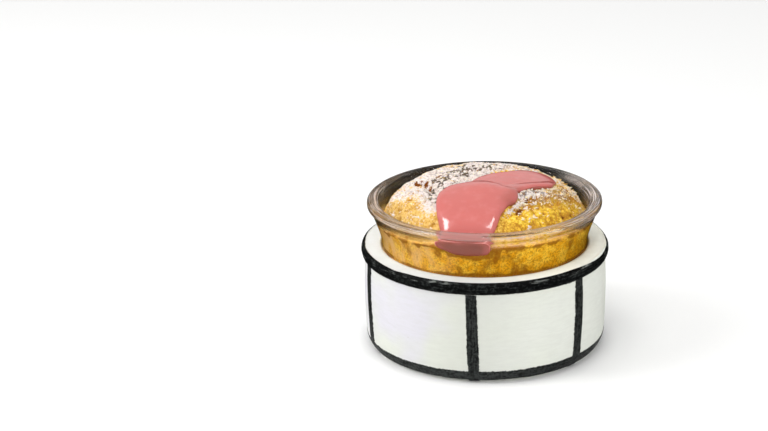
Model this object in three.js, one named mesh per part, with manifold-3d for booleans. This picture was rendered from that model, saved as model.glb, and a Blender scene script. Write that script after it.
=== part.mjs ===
// A baked souffle in a flared glass ramekin. The ramekin stands sunk in a round ceramic holder,
// and a berry cream sauce has run over the crust and down inside the glass.
// Millimetres, +Z up. The origin is the middle of the holder's underside, and the front faces -Y.
// Angles turn round +Z and start at the front: 0 degrees is -Y and 90 degrees is +X.

import * as THREE from 'three';
import { mergeVertices } from 'three/addons/utils/BufferGeometryUtils.js';
import Module from 'manifold-3d';

const wasm = await Module();
wasm.setup();

// ---- Clearance between pieces that touch ----
const GAP = 0.3;

// ---- Holder: a squat thick-walled pot with a raised rim bead and raised painted lines ----
const HOLDER_TOP = 41.4;
const FOOT_RADIUS = 43.6;
const FOOT_ROUNDING = 9;
const WALL_RADIUS = 47.9;
const WALL_BULGE = 0.35;
const FOOT_RING_INNER = 34.5;
const FOOT_RECESS = 0.8;
const BEAD_BOTTOM = 36.8;
const BEAD_TOP = 41.75;
const BEAD_PROUD = 1.25;
const BEAD_WOBBLE = 0.12;
const PAINT_RELIEF = 0.3;
const PAINT_EDGE = 0.45;
const FOOT_BAND_BOTTOM = 0.9;
const FOOT_BAND_TOP = 4.6;
const WELL_RADIUS = 41.32;
const WELL_FLOOR = 5.5;
const WELL_CORNER = 6;
const WELL_COLUMNS = 48;

// Upright painted lines: angle at the bead, angle at the foot (degrees) and width (mm).
const UPRIGHT_LINES = [
  { top: -132, foot: -131, width: 4.9 },
  { top: -72.8, foot: -70.5, width: 5.2 },
  { top: -6.3, foot: -5.5, width: 4.5 },
  { top: 48.8, foot: 47.8, width: 4.8 },
  { top: 108, foot: 108.6, width: 4.7 },
  { top: 169, foot: 168, width: 5.0 },
];
const PANEL_COLUMNS = 8;

// ---- Glass ramekin: straight body, flared upper wall and a thick rounded lip ----
const GLASS_BASE = WELL_FLOOR + GAP;
const GLASS_TOP = 59.95;
const GLASS_COLUMNS = 60;
const BODY_OUTER = 40.9;
const BODY_INNER = 38.2;
const BODY_TAPER = 0.7;
const OUTER_FLARE = { slope: 0.366, height: 45, softness: 1.2 };
const INNER_FLARE = { slope: 0.3, height: 47.5, softness: 2 };
const GLASS_FLOOR = 4;
const BASE_PUSH_UP = 0.8;
const BASE_RING = { inner: 26, outer: 33.4 };
const LIP_MIDDLE = 44.05;
const LIP_HALF_WIDTH = 2.4;
const LIP_HALF_HEIGHT = 1.7;
const LIP_SQUARENESS = 0.75;

// ---- Souffle: a domed crown that leaves the glass a little below the lip ----
const SOUFFLE_COLUMNS = 76;
const SOUFFLE_FLOOR = GLASS_BASE + GLASS_FLOOR + GAP;
const SHOULDER_RADIUS = 38.5;
const SHOULDER_HEIGHT = 55;
const CROWN_RISE = 12.6;
const CROWN_FLATNESS = 2.48;
const CROWN_ROUNDNESS = 1.62;
const CONTACT_HEIGHT = 53.5;
const CONTACT_WAVE = 0.45;
const CONTACT_DROP = 3.2;
const CONTACT_PULL = 1;
const CROWN_ROWS = [0, 5, 9.5, 13, 16, 18.5, 20.8, 23, 25, 27, 29, 31, 33, 35, 37, 39, 41, 43];

// Relief of the crust. Paths are measured over the crust from its middle, with -Y to the front.
const RISES = [
  { path: [[13.5, -17.5], [18.5, -13.5], [25, -7.5], [29.5, 1.5]], reach: 4.8, height: 1.3 },
  { path: [[-33, -4], [-29, -13], [-22, -21]], reach: 5.5, height: 1.3 },
  { path: [[-18, 16], [-4, 22], [12, 20]], reach: 8, height: 0.9 },
];
const HOLLOWS = [
  { path: [[-3, -13], [-6, -26], [-7.5, -38]], reach: 7, height: -1 },
  { path: [[7, -3], [19, 1], [25, 3]], reach: 6.5, height: -1.7 },
  { path: [[-33.5, 5.6], [-29, 3.2], [-25.5, 2.4], [-22.3, -0.7], [-21, -7], [-18.4, -12]], reach: 1.9, height: -2 },
  { path: [[4.5, 13.5], [9, 15], [13, 14]], reach: 1.8, height: -1.2 },
  { path: [[13, -27.5], [15, -24]], reach: 1.8, height: -1 },
];
const LUMPS = { count: 120, seed: 17, smallest: 1.8, largest: 4.2, height: 0.55 };

// ---- Sauce: two joined pools on the crust and a tongue between crust and glass ----
const SAUCE_COLUMNS = 44;
const SAUCE_EDGE = 0.25;
const SAUCE_ROOT = 2.2;
const FRONT_POOL = {
  middle: [-3, -25],
  depth: 1.75,
  outline: [
    [-8, -46.8], [0.4, -46], [2.4, -42.5], [3.3, -38.4], [4.1, -34.2], [5.6, -30.4], [7.6, -27.1], [10, -24.6],
    [12.2, -22.8], [12.9, -20], [12.3, -16.6], [9.6, -13.2], [5, -9.8], [-1, -8.2], [-8, -10], [-14, -12.6],
    [-17.4, -16.6], [-18.3, -21], [-18.5, -27.5], [-18.1, -32], [-17.6, -37], [-17, -42], [-14.5, -45.6],
  ],
};
const BACK_POOL = {
  middle: [13, -3],
  depth: 1.05,
  outline: [
    [5, -19.5], [13, -17], [18.8, -11.9], [25.6, -7], [27.6, -2], [28.6, 3.4], [26, 9], [20.8, 10.6],
    [14, 8.8], [8, 5], [1.5, 1.6], [-3.6, -4], [-5.6, -11],
  ],
};
const SAUCE_MOUND = { middle: [-0.8, -15.5], reach: 6, height: 0.9 };
const TONGUE = {
  middle: [-12, 53.8],
  inner: 33,
  outline: [
    [3.6, 53.9], [3, 55], [1.4, 56.1], [-1.5, 56.8], [-8, 57.1], [-16, 57.1], [-22, 56.8], [-25.3, 56], [-26.9, 54.4],
    [-26.5, 53.2], [-24.2, 52.4], [-20.5, 51.8], [-17.5, 51], [-14, 50.5], [-7, 50.4], [-0.5, 50.6], [2.4, 51.5],
  ],
};

// ---- Finishes ----
const FINISHES = {
  ceramic: { color: 0xe6e7df, roughness: 0.55, metalness: 0 },
  glass: { color: 0xd9dedb, roughness: 0.05, metalness: 0 },
  crust: { color: 0xe3b55a, roughness: 0.85, metalness: 0 },
  sauce: { color: 0xdf807b, roughness: 0.3, metalness: 0 },
};

const radians = THREE.MathUtils.degToRad;
const mix = THREE.MathUtils.lerp;
const ease = THREE.MathUtils.smoothstep;

// A straight line that turns softly into a slope above a given height.
function softRise(z, flare) {
  return flare.slope * flare.softness * Math.log1p(Math.exp((z - flare.height) / flare.softness));
}

// Radius of the glass body, outside or inside, at height z.
function glassRadius(z, radius, flare) {
  const taper = BODY_TAPER * (1 - Math.min(z / HOLDER_TOP, 1));
  return radius - taper + softRise(z, flare);
}

const glassOuter = (z) => glassRadius(z, BODY_OUTER, OUTER_FLARE);
const glassInner = (z) => glassRadius(z, BODY_INNER, INNER_FLARE);

// Quarter round between two heights, from the bottom end to the wall: [radius, height] pairs.
function cornerRound(wallRadius, floor, size, steps) {
  return Array.from({ length: steps + 1 }, (_, k) => {
    const turn = (k / steps) * (Math.PI / 2);
    return [wallRadius - size + size * Math.sin(turn), floor + size - size * Math.cos(turn)];
  });
}

// A closed surface with the rows of a turned profile, each vertex set by place(column, row).
function shapedSurface(rows, columns, place) {
  const profile = Array.from({ length: rows }, (_, row) => new THREE.Vector2(1, row));
  const surface = new THREE.LatheGeometry(profile, columns);
  const vertices = surface.getAttribute('position');
  for (let index = 0; index < vertices.count; index += 1) {
    const column = Math.floor(index / rows) % columns;
    const point = place(column, index % rows);
    vertices.setXYZ(index, point.x, point.y, point.z);
  }
  return surface;
}

// The point at an angle (degrees), a radius and a height.
function polar(angle, radius, z) {
  return new THREE.Vector3(radius * Math.sin(radians(angle)), -radius * Math.cos(radians(angle)), z);
}

// A closed turned surface from [radius, height] pairs that start and end on the axis.
function turned(profile, columns) {
  return shapedSurface(profile.length, columns, (column, row) => {
    const [radius, z] = profile[row];
    return polar((column / columns) * 360, radius, z);
  });
}

// A closed three.js surface as a solid that can be joined and cut.
function solidOf(surface) {
  surface.deleteAttribute('normal');
  surface.deleteAttribute('uv');
  const merged = mergeVertices(surface, 1e-4);
  const corners = merged.index.array;
  const kept = [];
  for (let k = 0; k < corners.length; k += 3) {
    const [a, b, c] = [corners[k], corners[k + 1], corners[k + 2]];
    if (a !== b && b !== c && c !== a) {
      kept.push(a, b, c);
    }
  }
  return new wasm.Manifold(new wasm.Mesh({
    numProp: 3,
    vertProperties: new Float32Array(merged.getAttribute('position').array),
    triVerts: new Uint32Array(kept),
  }));
}

// A solid as a named three.js mesh with its finish.
function meshOf(name, solid, finish) {
  const result = solid.getMesh();
  const surface = new THREE.BufferGeometry();
  surface.setAttribute('position', new THREE.BufferAttribute(new Float32Array(result.vertProperties), 3));
  surface.setIndex(new THREE.BufferAttribute(new Uint32Array(result.triVerts), 1));
  surface.computeVertexNormals();
  const mesh = new THREE.Mesh(surface, new THREE.MeshStandardMaterial(finish));
  mesh.name = name;
  return mesh;
}

// ---- Holder ----

// Radius of the bare wall at height z: a quarter ellipse at the foot, then a faint barrel.
function wallRadius(z) {
  if (z < FOOT_ROUNDING) {
    const rise = 1 - z / FOOT_ROUNDING;
    return FOOT_RADIUS + (WALL_RADIUS - FOOT_RADIUS) * Math.sqrt(1 - rise * rise);
  }
  const along = (z - FOOT_ROUNDING) / (BEAD_BOTTOM - FOOT_ROUNDING);
  return WALL_RADIUS + WALL_BULGE * Math.sin(Math.PI * Math.min(along, 1));
}

// Rows of the outside, from the middle of the underside to the middle of the top.
function holderRows() {
  const rows = [
    { radius: 0, z: FOOT_RECESS },
    { radius: FOOT_RING_INNER, z: FOOT_RECESS },
    { radius: FOOT_RING_INNER + FOOT_RECESS, z: 0 },
    { radius: FOOT_RADIUS - 0.4, z: 0 },
    { radius: wallRadius(0.25), z: 0.25 },
  ];
  const bandRow = (z, paint) => ({ radius: wallRadius(z), z, paint });
  rows.push(bandRow(FOOT_BAND_BOTTOM, 0));
  rows.push(bandRow(FOOT_BAND_BOTTOM + PAINT_EDGE, 1));
  rows.push(bandRow((FOOT_BAND_BOTTOM + FOOT_BAND_TOP) / 2, 1));
  rows.push(bandRow(FOOT_BAND_TOP - PAINT_EDGE, 1));
  rows.push(bandRow(FOOT_BAND_TOP, 0));
  for (const z of [FOOT_ROUNDING, (FOOT_ROUNDING + BEAD_BOTTOM) / 2, BEAD_BOTTOM - 0.2]) {
    rows.push(bandRow(z, 0));
  }
  const beadMiddle = (BEAD_BOTTOM + BEAD_TOP) / 2;
  const beadHalf = (BEAD_TOP - BEAD_BOTTOM) / 2;
  for (const turn of [-65, -35, 0, 35, 62]) {
    rows.push({
      radius: WALL_RADIUS + BEAD_PROUD * Math.cos(radians(turn)),
      z: beadMiddle + beadHalf * Math.sin(radians(turn)),
      bead: 1,
    });
  }
  rows.push({ radius: WALL_RADIUS, z: BEAD_TOP, bead: 1 });
  rows.push({ radius: WALL_RADIUS - 0.8, z: HOLDER_TOP });
  rows.push({ radius: 0, z: HOLDER_TOP });
  return rows;
}

// Columns of the outside. Each painted line has a column at every edge, so that it stands up
// sharply, and its panel up to the next line is split evenly. raised says what is line.
function holderColumns() {
  const columns = [];
  UPRIGHT_LINES.forEach((line, k) => {
    const next = UPRIGHT_LINES[(k + 1) % UPRIGHT_LINES.length];
    const wrap = k === UPRIGHT_LINES.length - 1 ? 360 : 0;
    const halfAngle = THREE.MathUtils.radToDeg(line.width / 2 / WALL_RADIUS);
    const nextHalf = THREE.MathUtils.radToDeg(next.width / 2 / WALL_RADIUS);
    const edge = THREE.MathUtils.radToDeg(PAINT_EDGE / WALL_RADIUS);
    const at = (share) => mix(line.foot, line.top, share);
    const nextAt = (share) => mix(next.foot, next.top, share) + wrap;
    columns.push({ raised: 0, angle: (share) => at(share) - halfAngle });
    columns.push({ raised: 1, angle: (share) => at(share) - halfAngle + edge });
    columns.push({ raised: 1, angle: (share) => at(share) + halfAngle - edge });
    columns.push({ raised: 0, angle: (share) => at(share) + halfAngle });
    for (let step = 1; step <= PANEL_COLUMNS; step += 1) {
      const share2 = step / (PANEL_COLUMNS + 1);
      columns.push({
        raised: 0,
        angle: (share) => mix(at(share) + halfAngle, nextAt(share) - nextHalf, share2),
      });
    }
  });
  return columns;
}

function holderSolid() {
  const rows = holderRows();
  const columns = holderColumns();
  const outside = shapedSurface(rows.length, columns.length, (columnIndex, rowIndex) => {
    const column = columns[columnIndex];
    const row = rows[rowIndex];
    const angle = column.angle(ease(row.z, FOOT_BAND_TOP, BEAD_BOTTOM));
    const wave = Math.sin(radians(3 * angle + 40)) + 0.6 * Math.sin(radians(7 * angle));
    const painted = row.paint === undefined ? 0 : Math.max(row.paint, column.raised);
    const radius = row.radius + PAINT_RELIEF * painted + (row.bead ? BEAD_WOBBLE * wave : 0);
    return polar(angle, radius, row.z);
  });
  const well = [[0, WELL_FLOOR]];
  well.push(...cornerRound(WELL_RADIUS, WELL_FLOOR, WELL_CORNER, 3));
  well.push([WELL_RADIUS, HOLDER_TOP - 0.5], [WELL_RADIUS + 0.5, HOLDER_TOP + GAP]);
  well.push([0, HOLDER_TOP + GAP]);
  return solidOf(outside).subtract(solidOf(turned(well, WELL_COLUMNS)));
}

// ---- Glass ramekin ----

// The rounded lip from its outer foot over the top to the inner wall.
function lipRound() {
  const middle = GLASS_TOP - LIP_HALF_HEIGHT;
  return [-38, -12, 18, 48, 78, 108, 140, 168].map((turn) => {
    const across = Math.cos(radians(turn));
    const up = Math.sin(radians(turn));
    return [
      LIP_MIDDLE + LIP_HALF_WIDTH * Math.sign(across) * Math.abs(across) ** LIP_SQUARENESS,
      middle + LIP_HALF_HEIGHT * Math.sign(up) * Math.abs(up) ** LIP_SQUARENESS,
    ];
  });
}

function glassSolid() {
  const inside = GLASS_BASE + GLASS_FLOOR;
  const outerCorner = glassOuter(GLASS_BASE) - BASE_RING.outer;
  const innerCorner = WELL_CORNER;
  const profile = [
    [0, GLASS_BASE + BASE_PUSH_UP],
    [BASE_RING.inner, GLASS_BASE + BASE_PUSH_UP],
    [BASE_RING.inner + 1.5, GLASS_BASE],
    ...cornerRound(glassOuter(GLASS_BASE + outerCorner), GLASS_BASE, outerCorner, 3),
    ...[38, 42.5, 45.5, 48.5, 56.3].map((z) => [glassOuter(z), z]),
    ...lipRound(),
    ...[54, 50.5, 47.5, 44, 38].map((z) => [glassInner(z), z]),
    ...cornerRound(glassInner(inside + innerCorner), inside, innerCorner, 3).reverse(),
    [0, inside],
  ];
  return solidOf(turned(profile, GLASS_COLUMNS));
}

// ---- Souffle ----

// Half section of the crown as a curve from its middle to the shoulder, on a superellipse.
function crownCurve() {
  const points = Array.from({ length: 49 }, (_, k) => {
    const turn = (k / 48) * (Math.PI / 2);
    return new THREE.Vector2(
      SHOULDER_RADIUS * Math.sin(turn) ** (2 / CROWN_FLATNESS),
      SHOULDER_HEIGHT + CROWN_RISE * Math.max(Math.cos(turn), 0) ** (2 / CROWN_ROUNDNESS),
    );
  });
  return new THREE.SplineCurve(points);
}

const crown = crownCurve();
const CROWN_LENGTH = crown.getLength();
const FLANK_LENGTH = SHOULDER_HEIGHT - CONTACT_HEIGHT;

// Share of the sauce tongue at an angle: 1 behind it, easing to 0 past both sides.
function tongueShare(angle) {
  const turn = THREE.MathUtils.euclideanModulo(angle + 180, 360) - 180;
  return ease(turn, -29, -15) * (1 - ease(turn, 0.5, 5.5));
}

// Height at which the crust meets the glass: higher on the right, lower behind the tongue.
function contactHeight(angle) {
  const wave = Math.sin(radians(angle - 10)) * 0.5 + Math.sin(radians(2 * angle + 30)) * 0.5;
  const fine = 0.35 * Math.sin(radians(9 * angle)) + 0.2 * Math.sin(radians(17 * angle + 60));
  return CONTACT_HEIGHT + CONTACT_WAVE * (wave + fine) - CONTACT_DROP * tongueShare(angle);
}

// Distance in the plane from a point to a path of straight runs.
function pathDistance(x, y, path) {
  let nearest = Infinity;
  for (let k = 0; k + 1 < path.length; k += 1) {
    const [[ax, ay], [bx, by]] = [path[k], path[k + 1]];
    const [dx, dy] = [bx - ax, by - ay];
    const along = THREE.MathUtils.clamp(((x - ax) * dx + (y - ay) * dy) / (dx * dx + dy * dy), 0, 1);
    nearest = Math.min(nearest, Math.hypot(x - ax - along * dx, y - ay - along * dy));
  }
  return nearest;
}

// A repeatable stream of numbers from 0 to 1.
function seededNumbers(seed) {
  let state = seed;
  return () => {
    state = (state * 1664525 + 1013904223) % 4294967296;
    return state / 4294967296;
  };
}

// Middles and sizes of the small lumps that the batter baked into, spread over the crown.
function lumpList() {
  const next = seededNumbers(LUMPS.seed);
  return Array.from({ length: LUMPS.count }, () => {
    const radius = CROWN_LENGTH * Math.sqrt(next());
    const turn = 2 * Math.PI * next();
    const reach = mix(LUMPS.smallest, LUMPS.largest, next());
    return { x: radius * Math.sin(turn), y: -radius * Math.cos(turn), reach };
  });
}

const lumps = lumpList();

// Height of the broad rises and hollows over the plain crown, for a place measured over the crust.
function broadRelief(x, y) {
  return [...RISES, ...HOLLOWS].reduce((height, feature) => {
    const distance = pathDistance(x, y, feature.path) / feature.reach;
    return height + feature.height * Math.exp(-distance * distance);
  }, 0);
}

// Height of the lumps on top of that: the tallest cap that covers the place.
function lumpRelief(x, y) {
  return lumps.reduce((height, lump) => {
    const share = 1 - ((x - lump.x) ** 2 + (y - lump.y) ** 2) / lump.reach ** 2;
    return Math.max(height, share > 0 ? Math.sqrt(share) * LUMPS.height * lump.reach / LUMPS.largest : 0);
  }, 0);
}

const crustRelief = (x, y) => broadRelief(x, y) + lumpRelief(x, y);
const levelRelief = (x, y) => broadRelief(x, y) + LUMPS.height / 3;

// The point of the crust at an angle and at a length measured over it from the middle,
// lifted off it by a given amount. Past the shoulder the flank falls to the glass.
function crustPoint(angle, length, lift, relief) {
  const x = length * Math.sin(radians(angle));
  const y = -length * Math.cos(radians(angle));
  if (length <= CROWN_LENGTH) {
    const share = length / CROWN_LENGTH;
    const base = crown.getPointAt(share);
    const slope = crown.getTangentAt(share);
    const fade = 1 - ease(length, CROWN_LENGTH - 5, CROWN_LENGTH);
    const raise = lift + fade * relief(x, y);
    const pull = CONTACT_PULL * tongueShare(angle) * ease(length, CROWN_LENGTH - 6, CROWN_LENGTH);
    return polar(angle, Math.max(base.x - slope.y * raise - pull, 0), base.y + slope.x * raise);
  }
  const down = Math.min((length - CROWN_LENGTH) / FLANK_LENGTH, 1);
  const z = mix(SHOULDER_HEIGHT, contactHeight(angle), down);
  const meeting = glassInner(contactHeight(angle)) - GAP;
  const pull = CONTACT_PULL * tongueShare(angle);
  return polar(angle, mix(SHOULDER_RADIUS - pull, meeting, down ** 2.5) + lift, z);
}

function souffleSolid(lift) {
  const wallHeights = [0.05, 0.11, 0.19, 0.45];
  const floor = cornerRound(glassInner(SOUFFLE_FLOOR + WELL_CORNER) - GAP, SOUFFLE_FLOOR, WELL_CORNER, 3);
  const below = floor.length + 1;
  const flank = [CROWN_LENGTH, CROWN_LENGTH + FLANK_LENGTH * 0.5, CROWN_LENGTH + FLANK_LENGTH];
  const lengths = [...CROWN_ROWS, ...flank].reverse();
  const rows = below + wallHeights.length + lengths.length;
  const surface = shapedSurface(rows, SOUFFLE_COLUMNS, (column, row) => {
    const angle = (column / SOUFFLE_COLUMNS) * 360;
    if (row === 0) {
      return polar(angle, 0, SOUFFLE_FLOOR - lift);
    }
    if (row < below) {
      const [radius, z] = floor[row - 1];
      return polar(angle, radius + lift, z - lift);
    }
    if (row < below + wallHeights.length) {
      const share = 1 - wallHeights[below + wallHeights.length - 1 - row];
      const z = mix(floor[floor.length - 1][1], contactHeight(angle), share);
      return polar(angle, glassInner(z) - GAP + lift, z);
    }
    return crustPoint(angle, lengths[row - below - wallHeights.length], lift, crustRelief);
  });
  return solidOf(surface);
}

// ---- Sauce ----

// A closed curve through hand-set points of an outline, read by its share of the way round.
function outlineCurve(points) {
  const curve = new THREE.CatmullRomCurve3(points.map(([x, y]) => new THREE.Vector3(x, y, 0)), true);
  return (share) => curve.getPointAt(share);
}

// Extra height where the sauce has piled up on itself.
function moundHeight(x, y) {
  const distance = Math.hypot(x - SAUCE_MOUND.middle[0], y - SAUCE_MOUND.middle[1]) / SAUCE_MOUND.reach;
  return SAUCE_MOUND.height * Math.exp(-distance * distance);
}

// A pool lies on the crust: full depth inside and a rounded lip along its outline.
function poolSolid(pool) {
  const shares = [1, 0.975, 0.9, 0.75, 0.55, 0.3, 0];
  const outline = outlineCurve(pool.outline);
  const surface = shapedSurface(shares.length + 2, SAUCE_COLUMNS, (column, row) => {
    const edge = outline(column / SAUCE_COLUMNS);
    const share = row === 0 ? 0 : shares[Math.max(row - 2, 0)];
    const x = mix(pool.middle[0], edge.x, share);
    const y = mix(pool.middle[1], edge.y, share);
    const full = pool.depth * Math.sqrt(1 - share ** 7) + moundHeight(x, y) * (1 - share ** 7);
    const lift = row < 2 ? -SAUCE_ROOT : GAP + SAUCE_EDGE + full;
    const angle = THREE.MathUtils.radToDeg(Math.atan2(x, -y));
    return crustPoint(angle, Math.hypot(x, y), lift, levelRelief);
  });
  return solidOf(surface);
}

// The tongue fills the wedge between flank and glass inside an outline of angles and heights.
function tongueSolid() {
  const shares = [0, 1, 1, 0.66, 0.33, 0];
  const outline = outlineCurve(TONGUE.outline.map(([angle, z]) => [angle / 2, z]));
  const surface = shapedSurface(shares.length, SAUCE_COLUMNS, (column, row) => {
    const edge = outline(column / SAUCE_COLUMNS);
    const angle = mix(TONGUE.middle[0], edge.x * 2, shares[row]);
    const z = mix(TONGUE.middle[1], edge.y, shares[row]);
    return polar(angle, row < 2 ? TONGUE.inner : glassInner(z) + GAP, z);
  });
  return solidOf(surface);
}

// Everything inside the glass that is clear of its wall, up to well over the crown.
function insideOfGlass() {
  const heights = [40, 44, 47.5, 50.5, 54, 58.3];
  const profile = [[0, heights[0]], ...heights.map((z) => [glassInner(z) - GAP, z])];
  profile.push([glassInner(GLASS_TOP) - GAP, GLASS_TOP + CROWN_RISE * 2], [0, GLASS_TOP + CROWN_RISE * 2]);
  return solidOf(turned(profile, GLASS_COLUMNS));
}

function sauceSolid() {
  const poured = poolSolid(FRONT_POOL).add(poolSolid(BACK_POOL)).add(tongueSolid());
  const held = poured.intersect(insideOfGlass()).subtract(souffleSolid(GAP));
  const bodies = held.decompose();
  return bodies.reduce((largest, body) => (body.volume() > largest.volume() ? body : largest));
}

// ---- The whole dessert ----
const dessert = new THREE.Group();
dessert.name = 'souffle_in_holder';
dessert.add(meshOf('holder', holderSolid(), FINISHES.ceramic));
dessert.add(meshOf('glass_ramekin', glassSolid(), FINISHES.glass));
dessert.add(meshOf('souffle', souffleSolid(0), FINISHES.crust));
dessert.add(meshOf('sauce', sauceSolid(), FINISHES.sauce));

export default dessert;
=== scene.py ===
"""A baked souffle in a flared glass ramekin that stands in a painted white holder.

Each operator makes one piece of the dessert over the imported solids. Shapes are worked out in
millimetres as whole numpy arrays, round the upright axis: angles start at the front (-Y) and
turn towards +X. Meshes are written in metres.
"""

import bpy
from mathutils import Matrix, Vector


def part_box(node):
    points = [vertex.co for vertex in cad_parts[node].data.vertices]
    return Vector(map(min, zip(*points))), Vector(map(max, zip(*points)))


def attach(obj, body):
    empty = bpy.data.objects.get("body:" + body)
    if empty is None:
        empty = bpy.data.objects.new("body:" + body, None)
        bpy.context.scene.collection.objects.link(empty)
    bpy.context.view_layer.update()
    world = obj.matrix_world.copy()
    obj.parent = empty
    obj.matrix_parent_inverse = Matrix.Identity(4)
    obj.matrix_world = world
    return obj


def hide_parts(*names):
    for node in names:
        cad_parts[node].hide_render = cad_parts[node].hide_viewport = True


bl_info = {
    "name": "Souffle with Fruit Sauce",
    "version": (1, 0, 0),
    "blender": (4, 5, 0),
    "location": "View3D > Sidebar > Souffle",
    "description": "Makes a sugared souffle, its glass ramekin, its painted holder and its sauce",
    "category": "Object",
}

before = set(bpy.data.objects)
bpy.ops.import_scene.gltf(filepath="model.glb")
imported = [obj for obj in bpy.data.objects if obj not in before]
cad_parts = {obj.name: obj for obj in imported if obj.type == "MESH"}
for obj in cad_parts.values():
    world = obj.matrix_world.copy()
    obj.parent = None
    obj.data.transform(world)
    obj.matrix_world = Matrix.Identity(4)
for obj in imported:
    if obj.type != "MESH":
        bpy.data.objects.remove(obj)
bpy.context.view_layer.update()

import math

import bpy
import numpy as np
from bpy.props import FloatProperty, FloatVectorProperty, IntProperty, PointerProperty
from mathutils import Matrix, Vector

MM = 0.001

# ---- Shared form, in millimetres, as the solids have it ----
HOLDER_TOP = 41.4
FOOT_RADIUS = 43.6
FOOT_ROUNDING = 9.0
WALL_RADIUS = 47.9
WALL_BULGE = 0.35
FOOT_RING_INNER = 34.5
FOOT_RECESS = 0.8
BEAD_BOTTOM = 36.8
BEAD_TOP = 41.75
FOOT_BAND_BOTTOM = 0.7
FOOT_BAND_TOP = 5.4
WELL_RADIUS = 41.32
WELL_FLOOR = 5.5
WELL_CORNER = 6.0
# Each upright painted line: degrees at the bead, degrees at the foot, width.
UPRIGHT_LINES = (
    (-132.0, -131.0, 4.9),
    (-70.8, -69.2, 5.0),
    (-6.3, -5.5, 4.5),
    (48.8, 47.8, 4.8),
    (108.0, 108.6, 4.7),
    (169.0, 168.0, 5.0),
)

# How far in the bead's paint reaches, and where it is held back from that: degrees round the
# rim, spread in degrees and millimetres.
PAINT_REACH = 47.55
HELD_BACK = ((66.0, 20.0, 1.55), (-47.0, 9.0, 0.6), (-24.0, 6.0, -0.5), (9.0, 5.0, -0.3))
# What a point of the holder's section belongs to.
UNDERSIDE, WALL, BEAD, TOP = range(4)
BEAD_ARC = (-78, 84)
RIM_EDGE = ((47.75, BEAD_TOP - 0.08), (47.45, HOLDER_TOP + 0.1), (47.1, HOLDER_TOP))
WELL_MOUTH = 0.5
# Columns across a painted edge, from outside it to inside it, and across a panel.
EDGE_COLUMNS = (-0.5, -0.3, -0.15, 0, 0.15, 0.3, 0.5, 0.9)
PANEL_COLUMNS = 36

GLASS_BASE = 5.8
GLASS_FLOOR = 4.0
BODY_OUTER = 40.9
BODY_INNER = 38.2
BODY_TAPER = 0.7
OUTER_FLARE = (0.366, 45.0, 1.2)
INNER_FLARE = (0.3, 47.5, 2.0)
BASE_PUSH_UP = 0.8
BASE_RING = (26.0, 33.4)
LIP_MIDDLE = 44.05
LIP_HALF_WIDTH = 2.4
LIP_HALF_HEIGHT = 1.7
LIP_SQUARENESS = 0.75
LIP_ARC = (-42, 170)
# Heights where the lip leaves the wall and where it is widest, each the place of a drawn line darkened as
# painted shade.
LIP_NECK = 56.2
LIP_BROW = 59.5
GLASS_COLUMNS = 320
# Angles between which the pink veil before the tongue fades in, at its left and at its right.
TONGUE_VEIL = ((-23.5, -20), (5, 0))
# Painted dark marks at the veil's ends: angle, spread in degrees and weight.
SHADE_MARKS = ((0.6, 2.0, 1.0), (-23, 2.6, 0.85))

SHOULDER_RADIUS = 38.5
SHOULDER_HEIGHT = 55.0
CROWN_FLATNESS = 2.48
CROWN_ROUNDNESS = 1.62
CONTACT_HEIGHT = 53.5
CONTACT_WAVE = 0.45
# Waves of the contact line: how many round the dish, start in degrees and size.
CONTACT_WAVES = ((1, -10, 0.5), (2, 30, 0.5), (9, 0, 0.35), (17, 60, 0.2))
CONTACT_DROP = 3.2
CONTACT_PULL = 1.0
FLANK_LENGTH = SHOULDER_HEIGHT - CONTACT_HEIGHT
SOUFFLE_FLOOR = 10.1
SOUFFLE_COLUMNS = 560
# How far the pressed crumb reaches into the glass wall.
WALL_TOUCH = 0.06

# Rises and hollows of the crust: path over the crust, reach and height.
SPLIT_PATH = ((-33.5, 5.6), (-29, 3.2), (-25.5, 2.4), (-22.3, -0.7), (-21, -7), (-18.4, -12))
CRACKED_PATH = ((-19.5, -16), (-18.5, -8), (-17.4, -1), (-11.5, 4), (-7, 12), (2, 15))
RIGHT_CREST = ((13.5, -17.5), (18.5, -13.5), (25, -7.5), (29.5, 1.5))
LEFT_CREST = ((-33, -4), (-29, -13), (-22, -21))
RELIEF = (
    (RIGHT_CREST, 4.8, 1.3),
    (LEFT_CREST, 5.5, 1.3),
    (((-18, 16), (-4, 22), (12, 20)), 8.0, 0.9),
    (((-3, -13), (-6, -26), (-7.5, -38)), 7.0, -1.0),
    (((7, -3), (19, 1), (25, 3)), 6.5, -1.7),
    (SPLIT_PATH, 1.9, -2.0),
    (((4.5, 13.5), (9, 15), (13, 14)), 1.8, -1.2),
    (((13, -27.5), (15, -24)), 1.8, -1.0),
)
LUMP_COUNT = 120
LUMP_SEED = 17
LUMP_REACH = (1.8, 4.2)
PIT_REACH = (0.45, 1.25)
NODULE_REACH = (0.35, 0.85)
NODULE_SPREAD = (5.5, 4.6)
CREASE_WIDTH = 0.3
WARM_PATH = ((15, -19), (22, -14), (31, -8), (36, 2))

SAUCE_EDGE = 0.55
SAUCE_SUNK = 0.9
FRONT_POOL = (
    (-3, -25),
    (
        (-8, -46.8), (-0.8, -45.8), (2.3, -42.3), (4.4, -38.3), (5.7, -34.2), (6.8, -30.4), (8.4, -27.1),
        (10, -24.6), (12.2, -22.8), (12.9, -20), (12.3, -16.6), (9.6, -13.2), (5, -9.2), (-1, -6.9),
        (-8, -8.2), (-13.8, -10.4), (-17, -14.4), (-18.2, -20), (-18.5, -27.5), (-18.1, -32),
        (-17.6, -37), (-17, -42), (-14.5, -45.6),
    ),
)
BACK_POOL = (
    (13, -3),
    (
        (5, -19.5), (13, -17), (18.8, -11.9), (25.6, -7), (27.6, -2), (28.6, 3.4), (26, 9),
        (20.8, 10.6), (14, 8.8), (8, 5), (1.5, 1.6), (-3.6, -4), (-5.6, -11),
    ),
)
SAUCE_MOUND = ((-0.8, -15.5), 6.0, 0.9)
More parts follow.
